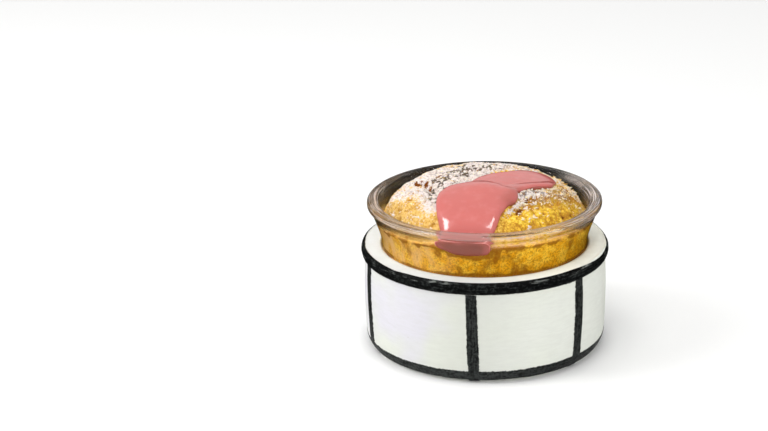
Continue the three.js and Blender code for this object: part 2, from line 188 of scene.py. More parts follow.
# Path of painted shade in the sauce beside the right hump.
SHADED_SAUCE_PATH = ((9, -24), (12, -20), (12.4, -17))
# Millimetres round the glass wall that a degree spans, near enough to draw the tongue.
DEGREE_SPAN = 0.7
# The tongue down inside the glass: middle and outline as degrees and heights.
TONGUE = (
    (-12, 53.8),
    (
        (3.2, 54.3), (2.6, 55.6), (1.2, 56.8), (-1.5, 57.7), (-8, 58.1), (-16, 57.9), (-22, 57.5),
        (-25.3, 56.6), (-26.9, 55.0), (-26.5, 53.6), (-24.2, 52.4), (-20.5, 51.8), (-17.5, 51),
        (-14, 50.5), (-7, 50.4), (-0.5, 50.6), (2.4, 51.5),
    ),
)

TONGUE_ROOT = 35.5

# Where icing sugar lies: path over the crust, reach and weight.
SUGAR_FALL = (
    (((-24, 9), (-13, 6), (-7, 0), (-4, 12), (4, 22)), 10.0, 1.5),
    (((-18, -3), (-16.5, -9), (-11, -6), (-4, -5)), 6.0, 1.45),
    (((-34, -2), (-30, -6), (-24, -9), (-20, -15), (-19.5, -21)), 6.2, 1.0),
    (((7, 12), (18, 12.5), (26, 9.5)), 3.0, 1.0),
    (((13.5, -19.5), (16.8, -16.5), (20, -14.5), (23, -11.5)), 3.2, 0.88),
    (((23, -11.5), (27.5, -5)), 3.0, 0.48),
    (((9.4, -29), (11.4, -26), (13, -23.4)), 1.7, 0.9),
    (((13, -25), (21, -18), (30, -9), (36, 2)), 4.5, 0.36),
    (((4, 19), (15, 17), (27, 12), (35, 4)), 7.0, 0.85),
    (((-32, 14), (-16, 29), (8, 33), (27, 23)), 9.0, 0.8),
    (((-38, -10), (-30, -22), (-21, -30)), 6.0, 0.22),
)
# Where the crust is browned and bare of sugar.
TOAST_FALL = (
    (((-27.4, 5.0), (-25.4, 3.6), (-23.6, 1.8)), 1.55, 1.25),
    (((-31.4, 1.4), (-28.4, 3.4)), 0.95, 1.2),
    (((-22.2, 0.5), (-21.2, -3.6)), 1.15, 1.35),
    (((-19.5, 5), (-17, 6.5)), 1.1, 0.6),
    (((-9, 9.5), (-5.5, 11)), 1.2, 0.55),
    (((3.5, 11.4), (6.8, 12.2)), 1.3, 0.5),
    (((13.2, -28.6), (14.2, -25.4)), 1.1, 0.9),
)
# Where crumbs stand up from the crust, in the same way.
CRUMB_FALL = (
    (((12.5, -22), (15, -19), (20, -14.5), (27, -8), (33, -3), (36, 2)), 3.8, 0.42),
    (((16, -25), (23, -19), (31, -10)), 3.2, 0.16),
    (((22, -30), (32, -22), (39, -8)), 6.0, 0.07),
    (((-34, 2), (-30, -10), (-25, -20), (-20, -28)), 7.0, 0.05),
    (((28, 11), (33, 7), (37, 2)), 5.5, 0.32),
    (((-20, 30), (0, 36), (20, 32)), 9.0, 0.1),
)
# Least and most stretch of a grain and of a crumb, and a crumb's least half width.
GRAIN_STRETCH = ((0.6, 0.6, 0.5), (1.4, 1.2, 0.9))
CRUMB_STRETCH = ((0.4, 0.9, 0.4), (0.7, 2.1, 0.7))
SMALLEST_CRUMB = 0.36

# ---- Stage: cards in degrees and millimetres, lights and camera in metres ----
FLOOR_HALF = 4000.0
SURROUNDINGS = 0.8
CARD_COLUMNS = 49
CARDS = (
    ("rear_black_card", (50, 310), ((53.0, 0.5), (150.0, 0.5), (150.0, 240.0))),
    ("low_rear_card", (98, 262), ((56.0, 0.6), (150.0, 0.6), (150.0, 88.0))),
    ("front_black_card", (-125, 125), ((56.0, 0.4), (420.0, 0.4))),
    ("ring_black_card", (-150, 150), ((41.05, 41.9), (52.0, 42.2))),
)
LIGHT_AIM = (0, 0, 0.045)
MATT, GLOSSY = (True, False), (False, True)
# Each light: place, size, watts, the surfaces that see it and the way its long side lies.
LIGHTS = (
    ("left_soft_light", (-0.7, -0.12, 0.6), (0.35, 0.35), 3.3, MATT, (0, 0, 1)),
    ("left_strip", (-0.58, -0.2, 0.70), (0.24, 0.62), 9.5, GLOSSY, (0.16, 0.67, 0.34)),
    ("front_strip", (0.26, -0.34, 0.89), (0.2, 0.66), 6.0, GLOSSY, (0.14, 0.58, 0.22)),
    ("front_soft_light", (0.5, -1.0, 0.35), (0.6, 0.5), 2.2, MATT, (0, 0, 1)),
    ("top_soft_light", (-0.1, -0.2, 1.0), (0.6, 0.6), 2.6, MATT, (0, 0, 1)),
)
CAMERA_PLACE = (0, -0.7189, 0.3062)
CAMERA_TURN = (19.446, 3.172, -1.471)
CAMERA_LENS = 89.95

# ---- Smaller tints within the finishes, as linear colours ----
# Painted shade on the holder's wall round its front line.
GLAZE_SHADE = (0.3, 0.3, 0.28)
GLAZE_GRAIN = (0.5, 0.5, 0.46)
GLAZE_SPECK = (0.36, 0.33, 0.26)
# The ring top's painted shade on its left and painted light on its right beside the glass.
RING_SHADE_LEFT = (0.675, 0.72, 0.735)
RING_LIGHT_RIGHT = (0.79, 0.81, 0.75)
PAINT_DAB = (0.042, 0.046, 0.044)
# Painted shade: dark lines under the lip.
GLASS_LINE_SHADE = (0.035, 0.022, 0.014)
# Painted shade on the lip where it is seen edge on.
GLASS_EDGE_SHADE = (0.05, 0.04, 0.035)
# Painted shade on the inner wall at the sides and back.
GLASS_BACK_SHADE = (0.034, 0.034, 0.038)
GLASS_VEIL = (0.485, 0.222, 0.2)
GLASS_SHINE = (0.55, 0.55, 0.55)
GLASS_SHINE_BEHIND = (0.03, 0.03, 0.03)
GLASS_LAMP_TINT = (0.97, 0.98, 0.97)
WARM_CRUMB = (0.24, 0.1, 0.02)
FLANK_FLECK = (0.8, 0.52, 0.27)
SUGAR_SHADE = (0.34, 0.27, 0.25)
# Painted shade in the cracks of the sugar.
SUGAR_CRACK_SHADE = (0.07, 0.056, 0.048)
SAUCE_SWIRL = (0.5, 0.125, 0.11)
SAUCE_MILKY = (0.68, 0.25, 0.24)
# Painted highlight along the tongue's edge.
SAUCE_RIM_HIGHLIGHT = (0.85, 0.37, 0.36)
FLOOR_SHADE = (0.8, 0.8, 0.8)
CARD_BLACK = (0.006, 0.006, 0.006)


# ---- Sizes and colours a user can change ----


def length(name, description, value):
    """A length in millimetres as a property in metres."""
    return FloatProperty(name=name, description=description, default=value * MM, min=0, unit="LENGTH")


def colour(name, description, value):
    """A linear colour from its eight-bit display values."""
    shares = [v / 255 for v in value]
    linear = [s / 12.92 if s <= 0.04045 else ((s + 0.055) / 1.055) ** 2.4 for s in shares]
    return FloatVectorProperty(
        name=name, description=description, subtype="COLOR", size=3, min=0, max=1, default=linear
    )


class DishSizes(bpy.types.PropertyGroup):
    """Sizes of the holder and the ramekin."""

    bead_proud: length("Bead proud", "How far the rim bead stands off the holder's wall", 1.25)
    paint_relief: length("Paint relief", "Thickness of the brushed lines", 0.3)
    brush_wander: length("Brush wander", "How far a brushed edge strays from its line", 0.2)
    glass_top: length("Glass top", "Height of the lip over the table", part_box("glass_ramekin")[1].z / MM)
    glass_ripple: length("Glass ripple", "Unevenness of the pressed glass", 0.05)


class CrustSizes(bpy.types.PropertyGroup):
    """Sizes of the souffle's crown and of its crumb."""

    crown_rise: length("Crown rise", "Height of the crown over its shoulder", 12.6)
    lump_height: length("Lump height", "Height of the baked lumps", 0.55)
    clump_depth: length("Clump depth", "Depth of the creases between clumps", 0.36)
    crumb_depth: length("Crumb depth", "Depth of the fine crumb", 0.42)
    pit_count: IntProperty(name="Pits", description="Number of burst bubbles", default=330, min=0)
    nodule_count: IntProperty(name="Nodules", description="Number of crusty nodules", default=900, min=0)
    seed: IntProperty(name="Seed", description="Start of the crust's random draws", default=5)


class SauceSizes(bpy.types.PropertyGroup):
    """Sizes of the poured sauce."""

    front_depth: length("Front depth", "Depth of the front pool", 1.75)
    back_depth: length("Back depth", "Depth of the back pool", 1.05)
    voxel: length("Joining size", "Grid on which the pools and the tongue are joined", 0.34)
    glass_reach: length("Glass reach", "How far the sauce reaches into the glass wall", 0.3)


class SugarSizes(bpy.types.PropertyGroup):
    """Sizes of the icing sugar grains."""

    grain_count: IntProperty(name="Grains", description="Number of grains tried", default=6500, min=0)
    smallest: length("Smallest grain", "Half width of the smallest grain", 0.12)
    largest: length("Largest grain", "Half width of the largest grain", 0.42)
    crumb_count: IntProperty(name="Crumbs", description="Number of crumbs tried", default=12000, min=0)
    crumb_size: length("Largest crumb", "Half width of the largest crumb", 0.8)
    seed: IntProperty(name="Seed", description="Start of the sugar's random draws", default=23)


class DessertColours(bpy.types.PropertyGroup):
    """Colours of every finish."""

    glaze: colour("Glaze", "White glaze of the holder", (221, 224, 214))
    # Cool patches of the glaze, also painted shade on the left side.
    glaze_cool_and_shade: colour("Cool glaze", "Cooler patches in the glaze", (219, 217, 225))
    paint: colour("Paint", "Black brushed paint", (7, 8, 8))
    paint_soft: colour("Soft paint", "Charcoal mottles in the paint", (44, 47, 46))
    # Dry brushed paint, also the painted highlight along the bead's top.
    paint_thin_and_highlight: colour("Thin paint", "Paint where the brush ran dry", (124, 127, 123))
    glass: colour("Glass", "Tint of the ramekin", (250, 247, 243))
    # Dark lip lines, deepened as painted dark reflections.
    glass_shade: colour("Shaded glass", "Darker drawn lines in the lip", (96, 82, 74))
    # Milky lip lines, partly painted light streaks.
    glass_haze: colour("Hazed glass", "Milky drawn lines in the lip", (204, 190, 184))
    gold: colour("Gold crumb", "Crumb on the well baked side", (255, 213, 68))
    pale: colour("Pale crumb", "Crumb on the lighter side", (234, 193, 110))
    # Crumb colour in dimples and pits, there partly painted shade.
    amber: colour("Amber crumb", "Crumb in dimples and pits", (186, 128, 42))
    toast: colour("Toast", "Browned crust in the split", (118, 64, 18))
    soaked: colour("Crumb at the glass", "Crumb pressed to the glass", (236, 174, 26))
    soaked_light: colour("Light crumb at the glass", "Lighter mottles at the glass", (252, 208, 64))
    soaked_cream: colour("Cream at the glass", "Creamy streaks at the glass", (236, 192, 124))
    # Browned crumb at the glass, also its painted shade.
    soaked_brown_and_shade: colour("Brown at the glass", "Browned blotches at the glass", (142, 84, 10))
    sugar: colour("Sugar", "Icing sugar", (238, 228, 224))
    cream: colour("Cream grain", "Sugared crumbs on the crest", (246, 226, 188))
    sauce: colour("Sauce", "Fruit cream sauce", (198, 105, 99))
    # Sauce pressed to the glass, also the colour of the sauce's painted shade.
    sauce_pressed_and_shaded: colour("Pressed sauce", "Sauce pressed to the glass", (147, 79, 67))
    floor: colour("Floor", "Pale table top", (246, 246, 245))


# ---- Arithmetic on whole arrays ----


def ease(low, high, x):
    """Smooth step: 0 below low, 1 above high, 3t^2 - 2t^3 between."""
    t = np.clip((np.asarray(x, float) - low) / (high - low), 0, 1)
    return t * t * (3 - 2 * t)


def mix(a, b, share):
    """Straight mix of a and b."""
    return a + (b - a) * share


def bell(x, reach, power=2):
    """Soft bump: e^(-(x / reach)^power)."""
    return np.exp(-((x / reach) ** power))


def signed_degrees(turn):
    """The same angles from -180 to 180."""
    return (np.asarray(turn, float) + 180) % 360 - 180


def polar(turn, radius, z):
    """Points at angles in degrees from the front, radii and heights."""
    turn, radius, z = np.broadcast_arrays(np.radians(turn), radius, z)
    return np.stack([radius * np.sin(turn), -radius * np.cos(turn), z], axis=-1)


def lattice_value(cell, seed):
    """One repeatable number from 0 to 1 for each whole-number cell, by mixing its three steps."""
    mixed = cell[..., 0] * 374761393 + cell[..., 1] * 668265263 + cell[..., 2] * 1103515245
    mixed = (mixed + seed * 362437) & 0xFFFFFFFF
    mixed = ((mixed ^ (mixed >> 13)) * 1274126177) & 0xFFFFFFFF
    return ((mixed ^ (mixed >> 16)) & 0xFFFF) / 0xFFFF


def soft_noise(points, grain, seed):
    """Smooth noise from -1 to 1: the corner values of each point's cell, mixed by eased steps."""
    place = points / grain
    cell = np.floor(place).astype(np.int64)
    share = place - cell
    share = share * share * (3 - 2 * share)
    total = np.zeros(points.shape[:-1])
    for corner in np.ndindex(2, 2, 2):
        weight = np.prod(np.where(corner, share, 1 - share), axis=-1)
        total += weight * lattice_value(cell + corner, seed)
    return 2 * total - 1


def on_plane(x, y):
    """Points of the level plane, for noise over the crust."""
    return np.stack(np.broadcast_arrays(x, y, np.zeros_like(x)), axis=-1)


def level_place(turn, run):
    """Level place of an angle in degrees and a length from the middle: run * (sin, -cos)."""
    return run * np.sin(np.radians(turn)), -run * np.cos(np.radians(turn))


def run_along(points):
    """Length along a path at each of its points: the running sum of its steps."""
    return np.concatenate([[0], np.cumsum(np.hypot(*np.diff(points, axis=0).T))])


def along_path(points, shares):
    """Places on a path of straight runs, at shares of its whole length."""
    points = np.asarray(points, float)
    run = run_along(points)
    return np.stack([np.interp(shares * run[-1], run, points[:, k]) for k in (0, 1)], axis=-1)


def path_distance(x, y, path):
    """Distance in the plane to a path of straight runs: the least over its runs."""
    nearest = np.full(np.shape(x), np.inf)
    for (ax, ay), (bx, by) in zip(path[:-1], path[1:]):
        dx, dy = bx - ax, by - ay
        along = np.clip(((x - ax) * dx + (y - ay) * dy) / (dx * dx + dy * dy), 0, 1)
        nearest = np.minimum(nearest, np.hypot(x - ax - along * dx, y - ay - along * dy))
    return nearest


def caps(x, y, sites, reach, rise):
    """Round caps: at each place the tallest of rise * sqrt(1 - (distance / reach)^2)."""
    height = np.zeros(np.shape(x))
    for (sx, sy), r, h in zip(sites, reach, rise):
        near = (np.abs(x - sx) < r) & (np.abs(y - sy) < r)
        share = 1 - ((x[near] - sx) ** 2 + (y[near] - sy) ** 2) / (r * r)
        height[near] = np.maximum(height[near], h * np.sqrt(np.clip(share, 0, 1)))
    return height


def closed_curve(points, shares):
    """A closed Catmull-Rom curve through the points, read at shares of its own length."""
    points = np.array(points, float)
    count = len(points)
    knots = np.linspace(0, count, count * 40 + 1)
    index = np.floor(knots).astype(int) % count
    t = (knots - np.floor(knots))[:, None]
    p0, p1, p2, p3 = (points[(index + k) % count] for k in (-1, 0, 1, 2))
    fine = 0.5 * (
        2 * p1 + (p2 - p0) * t + (2 * p0 - 5 * p1 + 4 * p2 - p3) * t ** 2
        + (3 * p1 - p0 - 3 * p2 + p3) * t ** 3
    )
    return along_path(fine, shares)


def inside_outline(x, y, outline):
    """True inside a closed outline, by the even-odd rule over its edges."""
    inside = np.zeros(np.shape(x), bool)
    for (ax, ay), (bx, by) in zip(outline, np.roll(outline, -1, axis=0)):
        crosses = (ay > y) != (by > y)
        inside ^= crosses & (x < (bx - ax) * (y - ay) / (by - ay + 1e-12) + ax)
    return inside


def tongue_curve(shares):
    """The tongue's outline unrolled from the glass wall: millimetres round it and heights."""
    return closed_curve(np.array(TONGUE[1]) * (DEGREE_SPAN, 1), shares)


# ---- Meshes ----


def finish_piece(piece, node, material):
    """Gives a made piece its material, body, replaced node and slot."""
    piece.data.materials.append(material)
    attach(piece, "root")
    if node:
        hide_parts(node)
    return piece


def write_fields(mesh, fields):
    """Puts named values, or named rows of three, on the vertices of a mesh."""
    for name, values in fields.items():
        values = np.asarray(values, np.float32)
        kind, key = ("FLOAT", "value") if values.ndim == 1 else ("FLOAT_VECTOR", "vector")
        mesh.attributes.new(name, kind, "POINT").data.foreach_set(key, values.ravel())


def read_rows(data, key):
    """Rows of three read from the vertices or the normals of a mesh."""
    values = np.empty(len(data) * 3, np.float32)
    data.foreach_get(key, values)
    return values.reshape(-1, 3)


def mesh_object(name, points, faces, sizes, fields=None):
    """A mesh object from points in millimetres and faces as one flat run of corners."""
    mesh = bpy.data.meshes.new(name)
    mesh.vertices.add(len(points))
    mesh.vertices.foreach_set("co", (points * MM).astype(np.float32).ravel())
    mesh.loops.add(len(faces))
    mesh.loops.foreach_set("vertex_index", faces.astype(np.int32))
    mesh.polygons.add(len(sizes))
    starts = np.concatenate([[0], np.cumsum(sizes)[:-1]])
    mesh.polygons.foreach_set("loop_start", starts.astype(np.int32))
    mesh.polygons.foreach_set("use_smooth", np.ones(len(sizes), bool))
    write_fields(mesh, fields or {})
    mesh.update(calc_edges=True)
    mesh.validate()
    piece = bpy.data.objects.new(name, mesh)
    bpy.context.scene.collection.objects.link(piece)
    return piece


def ring_skin(name, rings, bottom, top, fields=None):
    """A closed skin over rings of points: four-sided faces between rings, a fan at each end.

    Rings run from the bottom middle outwards, up and back to the top middle, and each ring
    turns anticlockwise seen from above, so every face looks outwards.
    """
    rows, columns = rings.shape[:2]
    index = np.arange(rows * columns).reshape(rows, columns)
    nxt = np.roll(index, -1, axis=1)
    quads = np.stack([index[:-1], nxt[:-1], nxt[1:], index[1:]], axis=-1).reshape(-1, 4)
    low = np.stack([np.full(columns, rows * columns), nxt[0], index[0]], axis=-1)
    high = np.stack([np.full(columns, rows * columns + 1), index[-1], nxt[-1]], axis=-1)
    faces = np.concatenate([quads.ravel(), low.ravel(), high.ravel()])
    sizes = np.concatenate([np.full(len(quads), 4), np.full(2 * columns, 3)])
    points = np.concatenate([rings.reshape(-1, 3), [bottom], [top]])
    whole = {}
    for field, values in (fields or {}).items():
        flat = values.reshape((rows * columns,) + values.shape[2:])
        ends = np.stack([values[0].mean(axis=0), values[-1].mean(axis=0)])
        whole[field] = np.concatenate([flat, ends])
    return mesh_object(name, points, faces, sizes, whole)


# ---- Materials ----


class Weave:
    """Short calls for the nodes of one material. Inputs are numbers, colours or sockets."""

    def __init__(self, name):
        self.material = bpy.data.materials.new(name)
        self.material.use_nodes = True
        self.tree = self.material.node_tree
        self.shader = self.tree.nodes["Principled BSDF"]

    def put(self, socket, value):
        """Links a socket, or sets a plain value on it."""
        if isinstance(value, bpy.types.NodeSocket):
            self.tree.links.new(value, socket)
        elif value is not None:
            plain = tuple(value) if hasattr(value, "__len__") else value
            if socket.type == "RGBA" and len(plain) == 3:
                plain = (*plain, 1)
            socket.default_value = plain

    def add(self, kind, inputs=(), out=0, **settings):
        """Adds a node, sets it up and returns one of its outputs."""
        node = self.tree.nodes.new("ShaderNode" + kind)
        for key, value in settings.items():
            setattr(node, key, value)
        pairs = inputs.items() if isinstance(inputs, dict) else enumerate(inputs)
        for key, value in pairs:
            self.put(node.inputs[key], value)
        return node.outputs[out]

    def math(self, operation, *values):
        """Any other arithmetic of one or two values."""
        return self.add("Math", values, operation=operation)

    def times(self, a, b):
        """a * b."""
        return self.math("MULTIPLY", a, b)

    def scaled(self, value, factor, offset):
        """value * factor + offset."""
        return self.math("MULTIPLY_ADD", value, factor, offset)

    def place(self):
        """Object coordinates, in metres."""
        return self.add("TexCoord", out="Object")

    def field(self, name, out="Fac"):
        """A named field of the mesh, as one value or as a vector."""
        return self.add("Attribute", out=out, attribute_name=name)

    def stretch(self, vector, scale):
        """A place scaled along its three axes."""
        return self.add("Mapping", {"Vector": vector, "Scale": scale})

    def noise(self, vector, grain, detail=2.0, roughness=0.5, distortion=0.0):
        """Noise from about 0 to 1, whose features are grain metres across."""
        inputs = {
            "Vector": vector, "Scale": 1 / grain, "Detail": detail,
            "Roughness": roughness, "Distortion": distortion,
        }
        return self.add("TexNoise", inputs)

    def ramp(self, value, low, high, bottom=0.0, top=1.0):
        """A soft step of a value from low to high."""
        inputs = {"Value": value, "From Min": low, "From Max": high, "To Min": bottom, "To Max": top}
        return self.add("MapRange", inputs, interpolation_type="SMOOTHSTEP")

    def blend(self, share, a, b):
        """A mix of two colours."""
        node = self.tree.nodes.new("ShaderNodeMix")
        node.data_type = "RGBA"
        for socket, value in zip((node.inputs[0], node.inputs[6], node.inputs[7]), (share, a, b)):
            self.put(socket, value)
        return node.outputs[2]

    def coats(self, base, *coats):
        """A colour under coats of others, each given as its share and its colour."""
        for share, tint in coats:
            base = self.blend(share, base, tint)
        return base

    def bump(self, height, distance, strength=1.0, normal=None):
        """A normal tipped by a height of up to a distance in metres."""
        inputs = {"Height": height, "Distance": distance, "Strength": strength, "Normal": normal}
        return self.add("Bump", inputs)

    def let_lamps_through(self, tint):
        """Lets shadow rays pass straight through with a tint, so that lamps light what is inside."""
        clear = self.add("BsdfTransparent", {"Color": tint})
        lamp = self.add("LightPath", out="Is Shadow Ray")
        both = self.add("MixShader", (lamp, self.shader.outputs[0], clear))
        self.tree.links.new(both, self.tree.nodes["Material Output"].inputs["Surface"])

    def finish(self, **inputs):
        """Sets the shader's sockets; a name's underscores are spaces."""
        for key, value in inputs.items():
            self.put(self.shader.inputs[key.replace("_", " ")], value)
        return self.material


def glaze_and_paint(colours):
    """White satin glaze with black brushed lines, told apart by the paint field, with painted light and
    shade.
    """
    w = Weave("holder_glaze_and_paint")
    place = w.place()
    side = w.add("SeparateXYZ", (place,))
    stroke = w.field("stroke", "Vector")
    ragged = w.scaled(w.noise(stroke, 1.6, 3.0, 0.6), 0.6, -0.3)
    fine_edge = w.scaled(w.noise(place, 0.0007, 2.0), 0.5, -0.25)
    painted = w.ramp(w.math("ADD", w.field("paint"), w.math("ADD", ragged, fine_edge)), -0.1, 0.2)
    brushed = w.noise(w.stretch(stroke, (0.09, 1.0, 1.0)), 0.55, 4.0, 0.65, 0.4)
    worn = w.noise(w.stretch(stroke, (0.35, 1.0, 1.0)), 3.4, 2.0)
    charcoal = w.noise(place, 0.0012, 4.0, 0.75)
    dabs = w.ramp(w.scaled(charcoal, 0.6, w.times(brushed, 0.4)), 0.42, 0.56, 0.1, 1.0)
    # Dry brush streaks, with a painted highlight along the bead's top edge.
    dry_streak_and_highlight = w.scaled(worn, 0.45, w.scaled(w.field("ridge"), 0.1, brushed))
    black = w.coats(
        colours.paint,
        (w.ramp(w.scaled(charcoal, 0.7, w.times(brushed, 0.45)), 0.56, 0.7), colours.paint_soft),
        (w.times(w.field("greyed"), dabs), PAINT_DAB),
        (w.ramp(dry_streak_and_highlight, 0.9, 1.08), colours.paint_thin_and_highlight),
    )
    cloud = w.ramp(w.noise(place, 0.026, 2.0), 0.35, 0.65)
    # Painted shade: the wall darkens towards the front upright line.
    shade_by_front_line = w.math("MINIMUM", w.ramp(side, -0.045, -0.0063, 0.25, 1), w.ramp(side, 0.022, -0.0063))
    grain = w.noise(w.stretch(place, (1, 1, 5)), 0.006, 5.0, 0.7)
    speck = w.ramp(w.add("TexVoronoi", {"Vector": place, "Scale": 160.0}), 0.06, 0.03, 0, 0.45)
    white = w.coats(
        colours.glaze,
        # Cool patches on the left side: partly the glaze's tone, partly painted shade.
        (w.times(cloud, w.ramp(side, 0.0, -0.02, 0.12, 1.0)), colours.glaze_cool_and_shade),
        (w.times(shade_by_front_line, 0.24), GLAZE_SHADE),
        # The ring top: painted shade on the left, painted light on the right.
        (w.times(w.field("top"), 0.9), w.blend(w.ramp(side, -0.01, 0.03), RING_SHADE_LEFT, RING_LIGHT_RIGHT)),
        (w.ramp(grain, 0.3, 0.75, 0, 0.22), GLAZE_GRAIN),
        (w.times(speck, w.ramp(grain, 0.55, 0.6)), GLAZE_SPECK),
    )
    rough_glaze = w.ramp(w.noise(place, 0.009, 3.0), 0.3, 0.7, 0.42, 0.56)
    rough_paint = w.ramp(brushed, 0.3, 0.75, 0.6, 0.38)
    normal = w.bump(w.times(brushed, painted), 0.00022, 0.8)
    normal = w.bump(w.noise(place, 0.012, 3.0), 0.0009, 0.35, normal)
    return w.finish(
        Base_Color=w.blend(painted, white, black), Normal=w.bump(grain, 0.00012, 0.3, normal),
        Roughness=w.scaled(painted, w.math("SUBTRACT", rough_paint, rough_glaze), rough_glaze),
        Specular_IOR_Level=0.05,
    )


def pressed_glass(colours):
    """Clear pressed glass, faintly rippled; its lip's drawn light and dark lines are partly painted
    reflections and shade.
    """
    w = Weave("ramekin_pressed_glass")
    ripple = w.noise(w.stretch(w.place(), (1, 1, 2.2)), 0.011, 2.0, 0.4)
    drawn = w.stretch(w.field("drawn", "Vector"), (0.045, 1.35, 1.0))
    finer = w.noise(w.stretch(drawn, (1.8, 2.4, 1.0)), 1.3)
    lines = w.scaled(w.noise(drawn, 1.3, 4.0, 0.7), 0.55, w.times(finer, 0.45))
    lip, veiled = w.field("lip"), w.field("veiled")
    # Painted shade: the lip darkens where it is seen edge on.
    edge = w.ramp(w.add("LayerWeight", {"Blend": 0.5}, out="Facing"), 0.45, 0.8)
    # Milky lip lines: partly haze, partly painted light streaks, with a painted glint line.
    milky_line = w.times(w.field("hazed"), w.ramp(lines, 0.51, 0.42, 0.08, 0.6))
    milky = w.math("MAXIMUM", milky_line, w.times(veiled, w.ramp(lines, 0.4, 0.6, 0.85, 0.7)))
    tint = w.coats(
        colours.glass,
        # Dark lines in the lip: pressed lines deepened as painted dark reflections.
        (w.times(lip, w.ramp(lines, 0.48, 0.57, 0, 0.8)), colours.glass_shade),
        # Painted dark lines under the lip and dark marks at the veil's ends.
        (w.field("crease"), GLASS_LINE_SHADE),
        (w.times(edge, w.scaled(lip, 0.5, 0.1)), GLASS_EDGE_SHADE),
        # Painted shade on the inner wall at the sides and back, above the crumb.
        (w.times(w.field("dusk"), w.ramp(lines, 0.58, 0.4, 0.75, 0.98)), GLASS_BACK_SHADE),
        (w.times(milky, 1.5), colours.glass_haze),
        (veiled, GLASS_VEIL),
    )
    w.let_lamps_through(GLASS_LAMP_TINT)
    return w.finish(
        Base_Color=tint, IOR=1.5, Roughness=w.scaled(lip, 0.02, 0.003),
        Normal=w.bump(w.times(lines, lip), 0.0006, 0.8, w.bump(ripple, 0.0006, 0.25)),
        Transmission_Weight=w.math("SUBTRACT", 1.0, milky),
        Specular_Tint=w.blend(w.field("quiet"), GLASS_SHINE, GLASS_SHINE_BEHIND),
    )


def baked_crust(colours):
    """Golden crumb, browner in its pits partly as painted shade, browned at the split, amber at the glass
    and sugared on top.
    """
    w = Weave("souffle_baked_crust")
    place = w.place()
    hollow, soak, sugar = w.field("hollow"), w.field("soak"), w.field("sugar")
    crumb = w.noise(place, 0.0009, 4.0, 0.65)
    patch = w.noise(place, 0.006, 3.0, 0.55, 0.6)
    tone = w.scaled(crumb, 2.6, w.scaled(patch, 1.4, w.times(hollow, 0.7)))
    mottle = w.noise(place, 0.0034, 4.0, 0.62, 0.2)
    streaks = w.noise(w.stretch(place, (1, 1, 0.4)), 0.0042, 4.0, 0.6, 0.5)
    wet = w.coats(
        colours.soaked,
        (w.ramp(mottle, 0.42, 0.64), colours.soaked_light),
        (w.ramp(w.noise(place, 0.0008, 3.0, 0.7), 0.38, 0.56, 0.6, 0), colours.soaked_brown_and_shade),
        (w.times(w.field("creamy"), w.ramp(streaks, 0.3, 0.66, 0.3, 1)), colours.soaked_cream),
        # Browned blotches, with painted shade along the contact line, above the holder and round the
        # tongue.
        (w.ramp(w.scaled(streaks, 1.4, w.field("brown")), 0.86, 1.2, 0, 0.8), colours.soaked_brown_and_shade),
    )
    powder = w.noise(place, 0.0012, 5.0, 0.75)
    powdered = w.coats(
        colours.sugar,
        (w.ramp(powder, 0.54, 0.42, 0, 0.7), SUGAR_SHADE),
        # Painted shade in the cracks of the sugar.
        (w.ramp(w.field("crack"), 0.1, 0.45, 0, 0.95), SUGAR_CRACK_SHADE),
    )
    fall = w.scaled(w.math("SUBTRACT", powder, 0.5), 2.6, sugar)
    film = w.ramp(w.math("SUBTRACT", fall, w.times(hollow, 0.45)), 0.3, 0.7, 0, 0.94)
    body = w.coats(
        colours.gold,
        (w.field("pale"), colours.pale),
        (w.field("warm"), WARM_CRUMB),
        # Amber where the tone is high: the crumb's browner colour, and painted shade in the hollows that
        # raise it.
        (w.ramp(tone, 1.8, 2.6, 0, 0.9), colours.amber),
        (w.ramp(tone, 2.0, 1.45, 0, 0.4), colours.cream),
        (w.ramp(w.scaled(crumb, 0.5, w.field("toast")), 0.5, 0.95), colours.toast),
        (w.times(w.field("fleck"), 0.95), FLANK_FLECK),
        (soak, wet),
        (w.times(film, w.ramp(sugar, 0.03, 0.2)), powdered),
    )
    normal = w.bump(w.noise(place, 0.0007, 4.0, 0.7), 0.00045, 0.7)
    normal = w.bump(w.noise(place, 0.0019, 3.0, 0.6), 0.0007, 0.5, normal)
    return w.finish(
        Base_Color=body, Roughness=w.ramp(soak, 0.0, 1.0, 0.82, 0.5), Normal=normal,
        Subsurface_Weight=0.12, Subsurface_Radius=(1.0, 0.5, 0.2), Subsurface_Scale=0.0012,
        Specular_IOR_Level=0.08,
    )


def cream_sauce(colours):
    """Glossy fruit cream, a little deeper where pressed to the glass, with painted shade and a painted
    highlight.
    """
    w = Weave("fruit_cream_sauce")
    place = w.place()
    milky = w.noise(place, 0.004, 2.0)
    body = w.coats(
        colours.sauce,
        (w.ramp(w.noise(place, 0.013, 3.0, 0.5, 1.2), 0.3, 0.75, 0, 0.3), SAUCE_SWIRL),
        (w.ramp(milky, 0.45, 0.8, 0, 0.25), SAUCE_MILKY),
        # Painted shade at the pools' foot, on their far side and in a hollow by the right hump.
        (w.times(w.field("low"), 0.6), colours.sauce_pressed_and_shaded),
        # Against the glass: partly the sauce's deeper colour where it wets the glass, partly painted shade.
        (w.field("pressed"), colours.sauce_pressed_and_shaded),
        # Painted highlight along the tongue's edge.
        (w.field("rim"), SAUCE_RIM_HIGHLIGHT),
    )
    return w.finish(
        Base_Color=body, Roughness=w.ramp(milky, 0.3, 0.7, 0.1, 0.16),
        Normal=w.bump(w.noise(place, 0.006, 2.0), 0.0005, 0.35), Subsurface_Weight=0.22,
        Subsurface_Radius=(1.0, 0.35, 0.25), Subsurface_Scale=0.0018, Specular_IOR_Level=0.5,
    )


